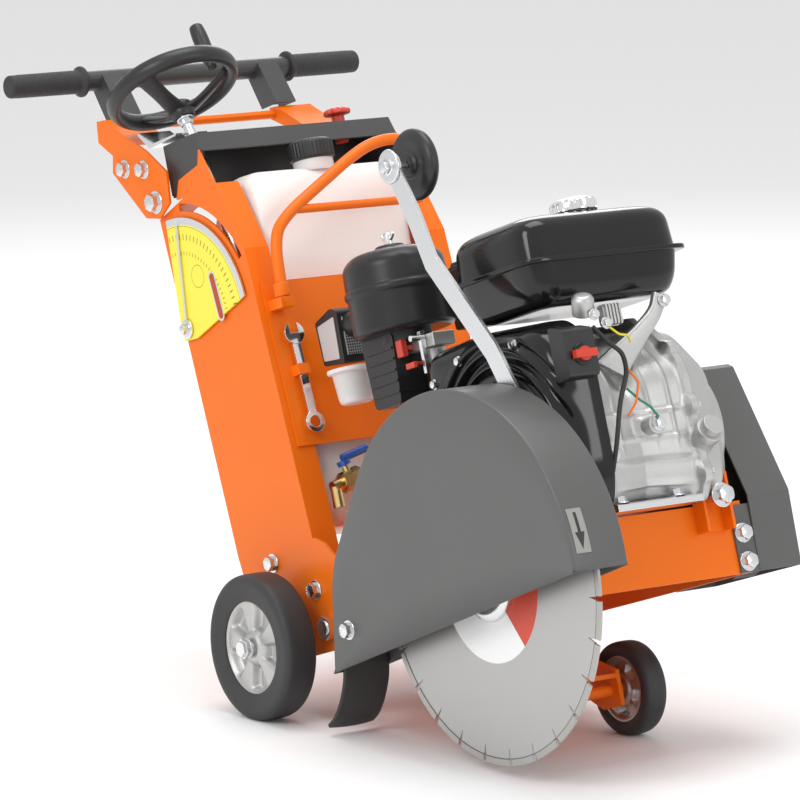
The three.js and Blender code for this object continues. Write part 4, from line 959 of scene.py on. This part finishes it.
def makeHandwheel():
    # rim: an ellipse turned round the axis. spoke: a flat oval carried from the hub up to the rim
    hub = onChassis(jointNamed["handwheel_turn"]["pos_m"])
    h = handwheelSize
    oval = np.linspace(0, 2 * np.pi, 25)
    section = np.stack([h["radius"] + h["rim"][0] * np.cos(oval), h["dish"] + h["rim"][1] * np.sin(oval)], -1)
    parts = [(turned(section, hub, wheelAxis, 96), "blackPlastic")]
    core = rounded([(0, -12), (14, -12), (17, -4), (17, 9), (12, 14), (0, 14)], [0, 2, 3, 3, 3, 0], 5)
    parts.append((turned(core, hub, wheelAxis, 48), "blackPlastic"))
    for degrees in (60, 180, 300):
        a = math.radians(degrees)
        out = wheelAcross * math.cos(a) + np.array((0, math.sin(a), 0))
        side = np.cross(wheelAxis, out)
        t = np.linspace(0, 1, 20)[:, None]
        path = hub + out * (8 + 68 * t) + wheelAxis * (h["dish"] * (t ** 1.3))
        along = np.gradient(path, axis=0)
        along /= np.linalg.norm(along, axis=1, keepdims=True)
        over = np.cross(along, side)
        width = (15.5 - 3.5 * np.sin(t * np.pi))[:, 0]
        ring = around(20)
        oval = (width[:, None] * np.cos(ring))[..., None] * side
        deep = (4.5 * np.sin(ring))[None, :, None] * over[:, None]
        parts.append((grid(path[:, None] + oval + deep, wrapColumns=True, capStart=True, capEnd=True),
                      "blackPlastic"))
    parts.append((tubeAlong(spread([hub - wheelAxis * 110, hub - wheelAxis * 10], 8), 6.8, 24), "zincPlate"))
    parts += zincBolts([(hub - wheelAxis * 12, 16)], -wheelAxis, 1.5)
    build("handwheelBody", parts, "depth_handwheel", ("handwheel",), smooth=50)
    foot = onChassis(jointNamed["knob_spin"]["pos_m"])
    knob = rounded([(0, 0), (6.5, 0), (7.5, 5), (10.5, 20), (10.8, 52), (9, 67), (0, 68)],
                   [0, 1, 4, 8, 8, 4, 0], 7)
    build("spinnerKnob", [(turned(knob, foot, wheelAxis, 48), "blackPlastic")], "handwheel_knob",
          ("handwheel_knob",), smooth=60)


makeHandwheel()
print("handwheel made")


# ---- gate bow, pointer wheel, splash flap
def makeGate():
    corners = [(72, -134, 440), (72, -131, 520), (75, -105, 548), (75, 22, 622), (75, 60, 634),
               (75, 102, 634), (75, 102, 546)]
    bow = tubeAlong(spread(rounded(corners, [0, 40, 30, 40, 20, 26, 0], 12), 100), 7.8, 24, up=(1, 0, 0))
    rung = tubeAlong(spread([(75, -92, 552), (75, 102, 551)], 20), 5.8, 20, up=(1, 0, 0))
    socket = turned(rounded([(0, 440), (10.5, 440), (10.5, 458), (0, 458)], 1.5), (72, -134, 0), (0, 0, 1),
                    32)
    build("tankBow", [(part, "orangePaint") for part in (bow, rung, socket)], "tank_gate", ("tank_gate",))


def makePointerWheel():
    hub = onChassis(jointNamed["pointer_wheel_spin"]["pos_m"])
    profile = rounded([(5.4, -13), (14, -13), (17, -9), (35, -10.5), (45, -6), (46.3, 3), (40, 9.5),
                       (31, 11.8), (14, 11), (5.4, 11)], [0, 2, 3, 6, 5, 5, 4, 4, 2, 0], 6)
    roller = turned(np.concatenate([profile, profile[:1]]), hub, (0, 1, 0), 80)
    build("pointerRoller", [(roller, "blackPlastic")], "pointer_wheel", ("pointer_wheel",),
          smooth=60)
    boss = hub + (0, -38.3, 0)
    disc = rounded([(0, -3.5), (21, -3.5), (22, -2), (22, 0), (0, 0)], 1.0)
    parts = [(turned(disc, boss, (0, 1, 0), 56), "zincPlate")]
    parts += zincBolts([(boss - (0, 3.5, 0), 15)], (0, -1, 0), 1.2)
    build("pointerDisc", parts, "pointer", (), smooth=50)


def makeFlap():
    # the hanging curve with an even thickness, bowed a little across its width
    curve = spread(rounded([(173, -28), (170, -64), (151, -94), (130, -115), (111, -123)], [0, 20, 20, 20, 0],
                           8), 40)
    across = np.linspace(-212, -144, 24)
    bow = 2.5 * (((across + 178) / 34) ** 2)[None, :] * np.linspace(0, 1, 40)[:, None]
    along = np.gradient(curve, axis=0)
    normal = np.stack([along[:, 1], -along[:, 0]], -1) / np.linalg.norm(along, axis=1, keepdims=True)
    x = curve[:, 0, None] + normal[:, 0, None] * bow
    z = curve[:, 1, None] + normal[:, 1, None] * bow
    points = np.stack([x, np.broadcast_to(across, x.shape), z], -1)
    piece = build("splashFlap", [(grid(points), "tyreRubber")], "machine", ("splash_flap",))
    wall = piece.modifiers.new("rubber", "SOLIDIFY")
    wall.thickness, wall.offset = 0.0045, 0


makeGate()
makePointerWheel()
makeFlap()
print("bow, roller and flap made")


# ---- engine castings and covers
engineSize = {"x": 465, "z": 157, "fanHole": 82, "arc": 118, "halfRound": 371}
caseOutline = [(360, 58), (577, 58), (590, 100), (583, 230), (525, 290), (405, 306), (360, 286)]
caseStations = [(-54, 1.0), (-46, 1.0), (-42, 0.94), (10, 0.90), (60, 0.95), (80, 0.97), (84, 1.03),
                (96, 1.03), (99, 0.96), (126, 0.92), (139, 0.84)]


def outlineRadius(outline, centre, angle, radius=22):
    # distance from the centre to a rounded outline in each direction
    line = spread(np.concatenate([rounded(outline, radius, 7, closed=True)] * 2), 900)[:520]
    away = line - centre
    bearing = np.arctan2(away[:, 1], away[:, 0])
    order = np.argsort(bearing)
    return np.interp(angle, bearing[order], np.hypot(*away.T)[order], period=2 * np.pi)


def bump(offset, width, power=2):  # a smooth hill, one at the middle
    return np.exp(-np.abs(offset / width) ** power)


def makeCrankcase():
    # radius at (angle, y) = outline * station scale + lugs on both flanges + ribs + a panel - a hollow
    centre = np.array((engineSize["x"], 165.0))
    scaleOfArc, halfRound = engineSize["arc"], engineSize["halfRound"]
    angle = np.linspace(-np.pi, np.pi, 360, endpoint=False)
    y = np.linspace(-54, 139, 110)
    base = outlineRadius(caseOutline, centre, angle)
    scale = np.interp(y, *np.array(caseStations).T)
    radius = base[None] * scale[:, None]
    arc = angle[None] * scaleOfArc
    for flangeY, count, phase, reach in ((-50, 9, 0.25, 5.0), (90, 10, 0.1, 7.0)):
        for bearing in phase + np.arange(count) * 2 * np.pi / count - np.pi:
            near = (arc - bearing * scaleOfArc + halfRound) % (2 * halfRound) - halfRound
            radius += reach * bump(near, 9, 3) * bump(y[:, None] - flangeY, 11, 6)
    for level in (-0.62, -0.40, -0.18, 0.10):
        radius += 3.2 * bump(arc - level * scaleOfArc, 2.6) * bump(y[:, None] - 22, 56, 8)
    for across in (-20, 32, 62):
        radius += 2.4 * bump(y[:, None] - across, 2.4) * bump(angle[None] - 0.55, 0.75, 6)
    radius -= 17 * bump(arc - 0.55 * scaleOfArc, 26) * bump(y[:, None] - 6, 19)
    radius += 8 * bump(arc + 0.05 * scaleOfArc, 14, 4) * bump(y[:, None] - 22, 15, 4)
    floor = 107 / np.maximum(-np.sin(angle), 0.2)[None]
    radius = np.where(np.sin(angle)[None] < -0.2, np.minimum(radius, floor), radius)
    ring = sideways(angle)
    points = np.array((centre[0], 0, centre[1])) + radius[..., None] * ring[None]
    points[..., 1] += y[:, None]
    parts = [(grid(points, wrapColumns=True, capStart=True, capEnd=True), "castAluminium")]
    cover = rounded([(0, 136), (92, 136), (92, 150), (88, 162), (70, 165), (14, 165), (14, 136)],
                    [0, 2, 6, 6, 3, 0, 0], 5)
    parts.append((turned(cover, (engineSize["x"], 0, engineSize["z"]), (0, 1, 0), 72), "castAluminium"))
    filler = rounded([(0, -30), (17, -30), (16, 0), (17.5, 4), (17.5, 14), (0, 14)], [0, 0, 6, 2, 1, 0], 4)
    lean = np.array((28, 0, 14)) / math.hypot(28, 14)
    parts.append((turned(filler, (594, 96, 136), lean, 40), "castAluminium"))
    boss = [(0, -12), (11, -12), (12, 12), (9, 14), (0, 14)]
    parts.append((turned(boss, (588, 22, 158), (1, 0, 0), 32), "castAluminium"))
    arm = spread(rounded([(556, 0, 236), (572, 34, 268), (579, 66, 296), (579, 80, 318)], [0, 16, 12, 0], 6),
                 30)
    width = np.interp(np.linspace(0, 1, 30), [0, 0.5, 0.85, 1], [24, 13, 9, 11])
    ring = around(24)
    squarish = (np.abs(np.cos(ring)) ** 4 + np.abs(np.sin(ring)) ** 4) ** -0.25
    broad = (width[:, None] * (np.cos(ring) * squarish))[..., None] * np.array((0, 0.85, -0.5))
    thick = (7 * np.sin(ring) * squarish)[None, :, None] * np.array((0.9, -0.1, -0.1))
    parts.append((grid(arm[:, None] + broad + thick, wrapColumns=True, capStart=True, capEnd=True),
                  "castAluminium"))
    parts += zincBolts([((586, 79, 311), 12)], (1, 0, 0), 1.2)
    parts += zincBolts([((602, 22, 158), 13)], (1, 0, 0), 1.6)
    parts += zincBolts([((583, -40, 128), 12)], (1, 0, 0.1), 1.2)
    for bearing in 0.1 + np.arange(10) * 2 * np.pi / 10 - np.pi:
        reach = outlineRadius(caseOutline, centre, np.array([bearing]))[0]
        spot = (centre[0] + reach * math.cos(bearing), 97, centre[1] + reach * math.sin(bearing))
        if spot[2] > 70:
            parts += zincBolts([(spot, 9)], (0, 1, 0), 0.8)
    build("crankcaseCasting", parts, "machine", ("crankcase",), smooth=45)
    rail = rounded([(440, 57.3), (594, 57.3), (594, 66), (587, 68), (440, 68)], 1.5, 3, closed=True)
    parts = [(plateAcross(rail, -56, 76), "zincPlate")]
    parts += zincBolts([((583, 44, 68), 14), ((583, -42, 68), 14)], (0, 0, 1), 1.4)
    build("engineRail", parts, "machine", (), bevel=0.6, smooth=35)


shroudOutline = [(583, 60), (601, 110), (601, 262), (569, 304), (405, 318), (315, 314), (313, 240),
                 (322, 110), (360, 60)]


def makeShroud():
    # from the outline inwards the face steps out, then carries rolling ridges down to the fan opening
    e = engineSize
    centre = np.array((e["x"], e["z"]))
    angle = around(300)
    reach = outlineRadius(shroudOutline, centre, (angle + np.pi) % (2 * np.pi) - np.pi, 26)
    t = np.linspace(0, 1, 60)[:, None]
    radius = reach[None] * (1 - t) + (e["fanHole"] + 20) * t
    depth = reach[None] - radius
    swirl = np.sin((radius - 96) / 9.5 * np.pi + angle[None] * 2) * bump(radius - 122, 26, 4)
    face = -112 + 44 * np.exp(-depth / 7) - 4.5 * swirl * np.minimum(depth / 12, 1)
    ring = sideways(angle)
    front = np.array((centre[0], 0, centre[1])) + radius[..., None] * ring
    front[..., 1] = np.minimum(face, -56)
    back = front[:1].copy()
    back[..., 1] = -54
    inner = np.array((centre[0], -54, centre[1])) + (e["fanHole"] + 20) * ring[None]
    mouth = inner * (1, 0, 1) - (0, 102, 0)
    parts = [(grid(np.concatenate([inner, back, front, mouth, inner]), wrapColumns=True), "blackEnamel")]
    box = rounded([(590, 222), (619, 226), (619, 284), (590, 292)], 6, 5, closed=True)
    parts.append((plateAcross(box, -108, -62), "blackPlastic"))
    collar = rounded([(0, -2), (14, -2), (14, 2), (10, 3.4), (0, 3.4)], 1)
    parts.append((turned(collar, (619, -84, 252), (1, 0, 0), 40), "blackEnamel"))
    side = rounded([(256, 222), (330, 236), (330, 312), (262, 300)], 8, 4, closed=True)
    parts.append((plateAcross(side, -66, -58), "blackPlastic"))
    screws = ((400, 288), (520, 286), (580, 180), (576, 92), (340, 270))
    parts += zincBolts([((x, -111, z), 9) for x, z in screws], (0, -1, 0), 0.8)
    build("fanShroud", parts, "machine", ("fan_cover",), smooth=45)
    angle = around(360)
    radius = np.concatenate([np.linspace(0.5, 60, 14), np.linspace(62, 90, 24), np.linspace(92, 101, 6)])
    level = np.interp(radius, [0, 30, 60, 86, 98, 101], [0, 0, 0, -3, -9, -12])
    offSlot = ((angle * 24 / (2 * np.pi)) % 1 - 0.5) * radius[:, None] * 2 * np.pi / 24
    slot = bump(offSlot, 2.6, 6) * bump(radius[:, None] - 76, 14, 8)
    ring = sideways(angle)
    dome = np.array((centre[0], 0, centre[1])) + radius[:, None, None] * ring
    dome[..., 1] = -124 - level[:, None] + 7 * slot
    rim = np.array((centre[0], -104, centre[1])) + 101 * ring[None]
    shell = grid(np.concatenate([dome, rim]), wrapColumns=True, capStart=True, capEnd=True)
    build("recoilShell", [(shell, "blackPlastic")], "machine", ("recoil_cover",), smooth=40)


def makeHarness():
    # coil and regulator under the tank, and thin leads laid as smooth curves down the casting
    coil = rounded([(0, 0), (14, 0), (14, 22), (10, 27), (0, 27)], [0, 3, 2, 3, 0], 4)
    parts = [(turned(coil, (588, -48, 303), (0.5, -0.2, 1), 36), "castAluminium")]
    block = rounded([(588, 286), (606, 286), (606, 312), (588, 312)], 3, 4, closed=True)
    parts += [(plateAcross(block, -26 + 5 * k, -23 + 5 * k), "castAluminium") for k in range(5)]
    core = rounded([(590, 289), (602, 289), (602, 309), (590, 309)], 2, 3, closed=True)
    parts.append((plateAcross(core, -28, -1), "castAluminium"))
    parts += zincBolts([((606, -46, 300), 10), ((606, -30, 288), 10)], (1, 0, 0), 1.0)
    build("coilAndRegulator", parts, "machine", (), bevel=0.4, smooth=40)
    leads = [
        ("blackLead", 3.0, "gripRubber", [(604, -50, 286), (610, -34, 262), (604, -12, 250), (598, -6, 226),
                                          (603, -30, 190), (600, -44, 140), (592, -52, 108)]),
        ("yellowLead", 1.5, "yellowWire", [(606, -30, 286), (609, -16, 272), (606, 0, 270), (600, 6, 262)]),
        ("greenLead", 1.5, "greenWire", [(598, -12, 206), (601, 2, 190), (604, 14, 180), (606, 22, 166)]),
        ("orangeLead", 1.4, "orangePaint", [(599, -6, 230), (603, 4, 212), (602, -4, 188), (598, -18, 172)])]
    for name, radius, look, stops in leads:
        stops = np.array(stops, float)
        t = np.linspace(0, 1, 60)
        knots = np.linspace(0, 1, len(stops))
        path = np.stack([np.interp(t, knots, stops[:, k]) for k in range(3)], -1)
        for _ in range(14):
            path[1:-1] = (path[:-2] + path[1:-1] * 2 + path[2:]) / 4
        build(name, [(tubeAlong(path, radius, 10, up=(0.2, 1, 0.1)), look)], "machine", (),
              smooth=60)


makeCrankcase()
makeShroud()
makeHarness()
print("engine castings made")


# ---- print and small parts of the depth gauge, and the arrow on the guard
def makeGaugeParts():
    pivot = rounded([(0, -1.2), (12, -1.2), (13, 0), (13, 1.5), (0, 1.5)], [0, 1, 1, 0, 0], 4)
    needle = plateAcross([(-121, 438), (-117, 438), (-97, 571), (-99, 580), (-102, 571)], -167.4, -166.6)
    parts = [(turned(pivot, (-119, -167.2, 438), (0, 1, 0), 40), "zincPlate"), (needle, "zincPlate")]
    parts += zincBolts([((-119, -168.4, 438), 12)], (0, -1, 0), 1.0)
    build("gaugePointer", parts, "depth_pointer", ("depth_pointer",), smooth=40)
    top, bottom = np.array((-40.0, 492.0)), np.array((-34.0, 440.0))

    def capsule(radius):
        sweep = np.linspace(0, np.pi, 20)
        away = (top - bottom) / np.linalg.norm(top - bottom)
        square = np.array((away[1], -away[0]))
        upper = top + radius * (np.cos(sweep)[:, None] * square + np.sin(sweep)[:, None] * away)
        return np.concatenate([upper, top + bottom - upper])

    build("gaugeSlot", [(plateAcross(capsule(8.0), -164.9, -164.6), "zincPlate"),
                        (plateAcross(capsule(5.2), -165.1, -164.7), "slotShade")], "machine", (),
          smooth=40)


arrowSize = {"radius": 243.25, "from": 0.5, "to": 13.5, "y0": -212, "y1": -190}


def makeArrow():
    # a strip bent to the guard's arch, with the arrow as a second thinner strip over it
    a = arrowSize

    def patch(u0, u1, widths, lift):
        t = np.linspace(0, 1, len(widths))
        sweep = np.radians(u0 + (u1 - u0) * t)
        middle = (a["y0"] + a["y1"]) / 2
        reach = a["radius"] + lift
        x, z = guardSize["x"] + reach * np.cos(sweep), guardSize["z"] + reach * np.sin(sweep)
        return grid(np.stack([np.stack([x, middle + side * np.asarray(widths, float), z],
                                       -1) for side in (-1, 0, 1)]))

    plain = patch(a["from"], a["to"], [11] * 14, 0.25)
    shaft = patch(6.5, 12.3, [2.2] * 8, 0.4)
    head = patch(1.6, 6.5, list(np.linspace(0.05, 7.0, 8)), 0.4)
    parts = [(plain, "arrowField"), (shaft, "arrowInk"), (head, "arrowInk")]
    build("directionArrow", parts, "machine", (), flip=False)


makeGaugeParts()
makeArrow()
print("gauge parts and arrow made")


# ---- fasteners that show
def makeFasteners():
    right = [((208, -219, -10), 17), ((67, -164.5, 57), 17), ((-21, -164.5, 106), 17)]
    left = [((67, 165.5, 57), 17), ((-21, 165.5, 106), 17)]
    nose = [((551.5, 158, 14), 17), ((551.5, 158, -22), 17)]
    parts = zincBolts(right, (0, -1, 0), 1.4) + zincBolts(left, (0, 1, 0),
                                                          1.4) + zincBolts(nose, (1, 0, 0), 1.4)
    parts += zincBolts([((581, 114, 62), 21)], (1, 0, 0), 1.6, length=24)
    build("chassisBolts", parts, "machine", (), smooth=35)
    parts = []
    for x, z, size in ((-135, 614, 21), (-196, 673, 17), (-150, 662, 17)):
        for side in (-1, 1):
            parts += zincBolts([((x, side * 168, z), size)], (0, side, 0), 1.6)
    build("handleBolts", parts, "handles", (), smooth=35)


makeFasteners()
print("fasteners made")
